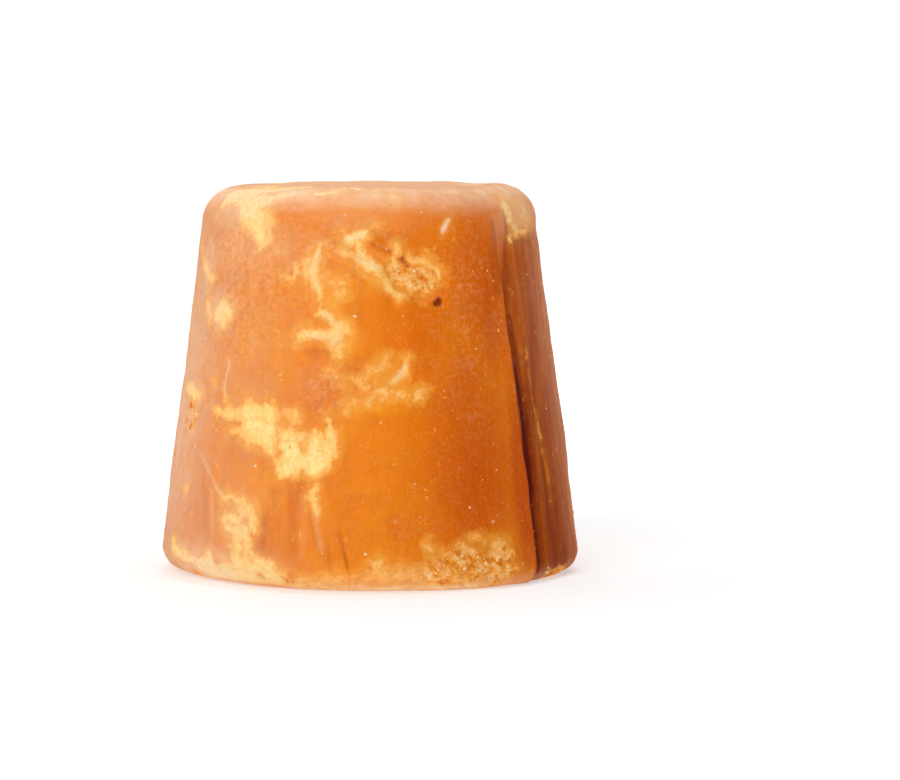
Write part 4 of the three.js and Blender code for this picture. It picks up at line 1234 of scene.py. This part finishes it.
# %% [markdown]
# ## Floor and light
# The sheet is pale paper that also glows, more and more with the distance from the block, so that it stays
# white without throwing much light on the block's foot. Three large soft lamps light the front from the
# left, the top and low down. The surroundings are white behind and to the left, and dimmer in front and to
# the right, so that the block has a bright side and a deep one.

# %% Floor
FLOOR_HALF = 1.2
floor_mesh = bpy.data.meshes.new("floor")
corners = np.array([(-1, -1, 0), (1, -1, 0), (1, 1, 0), (-1, 1, 0)]) * FLOOR_HALF
floor_mesh.from_pydata(corners.tolist(), [], [(0, 1, 2, 3)])
floor = bpy.data.objects.new("floor", floor_mesh)
bpy.context.scene.collection.objects.link(floor)
paper = bpy.data.materials.new("white_paper")
paper.use_nodes = True
paper.node_tree.nodes.clear()
matt = {"Base Color": colour("#c8c8c8"), "Roughness": 0.9}
floor_place = add(paper.node_tree, "ShaderNodeTexCoord", {}).outputs["Object"]
far_off = add(paper.node_tree, VECTOR_MATH, {"operation": "LENGTH", 0: floor_place}).outputs["Value"]
ends = {"From Min": 0.1, "From Max": 0.35, "To Min": 0.46, "To Max": 0.75}
strength = add(paper.node_tree, RANGE, {"Value": far_off, **ends}).outputs[0]
glow = {"Emission Color": colour("#ffffff"), "Emission Strength": strength}
paper_shader = add(paper.node_tree, "ShaderNodeBsdfPrincipled", matt | glow)
add(paper.node_tree, "ShaderNodeOutputMaterial", {"Surface": paper_shader.outputs[0]})
floor_mesh.materials.append(paper)

# %% Surroundings
BRIGHT, DIM = 1.06, 0.09
BRIGHT_WAY = (-0.3, 0.95, 0.1)
world = bpy.data.worlds.new("studio")
bpy.context.scene.world = world
world.use_nodes = True
world_tree = world.node_tree
world_tree.nodes.clear()
way = add(world_tree, "ShaderNodeTexCoord", {}).outputs["Generated"]
facing = add(world_tree, VECTOR_MATH, {"operation": "DOT_PRODUCT", 0: way, 1: BRIGHT_WAY}).outputs["Value"]
ends = {"From Min": -0.3, "From Max": 0.8, "To Min": DIM, "To Max": BRIGHT}
level = add(world_tree, RANGE, {**SMOOTH, "Value": facing, **ends}).outputs[0]
background = add(world_tree, "ShaderNodeBackground", {"Color": (1, 1, 1, 1), "Strength": level})
add(world_tree, "ShaderNodeOutputWorld", {"Surface": background.outputs[0]})

# %% Lights


def soft_light(name, place_m, aim_m, width, power):
    """A square lamp of a given width, turned so that it shines from its place to its aim."""
    data = bpy.data.lights.new(name, "AREA")
    data.size = width
    data.energy = power
    lamp = bpy.data.objects.new(name, data)
    lamp.location = place_m
    way = np.array(aim_m) - np.array(place_m)
    flat = math.hypot(way[0], way[1])
    lamp.rotation_euler = (math.atan2(flat, -way[2]), 0, math.atan2(-way[0], way[1]))
    bpy.context.scene.collection.objects.link(lamp)


soft_light("key", (-0.4, -1.05, 0.75), (0, 0, 0.05), 0.7, 7.6)
soft_light("top", (0.15, -0.1, 1.2), (0, 0, 0.09), 0.6, 4.4)
soft_light("low", (-0.3, -1.2, 0.04), (0, 0, 0.03), 0.5, 1.6)

# %% Camera
LENS, SENSOR = 158.4, 36
CAMERA_PLACE = (0.02038, -1.0004, 0.1212)
LOOKS_DOWN = 4.325
camera_data = bpy.data.cameras.new("camera")
camera_data.sensor_width = SENSOR
camera_data.lens = LENS
camera = bpy.data.objects.new("camera", camera_data)
camera.location = CAMERA_PLACE
camera.rotation_euler = (math.radians(90 - LOOKS_DOWN), 0, 0)
bpy.context.scene.collection.objects.link(camera)
bpy.context.scene.camera = camera
bpy.context.scene.view_settings.view_transform = "Standard"
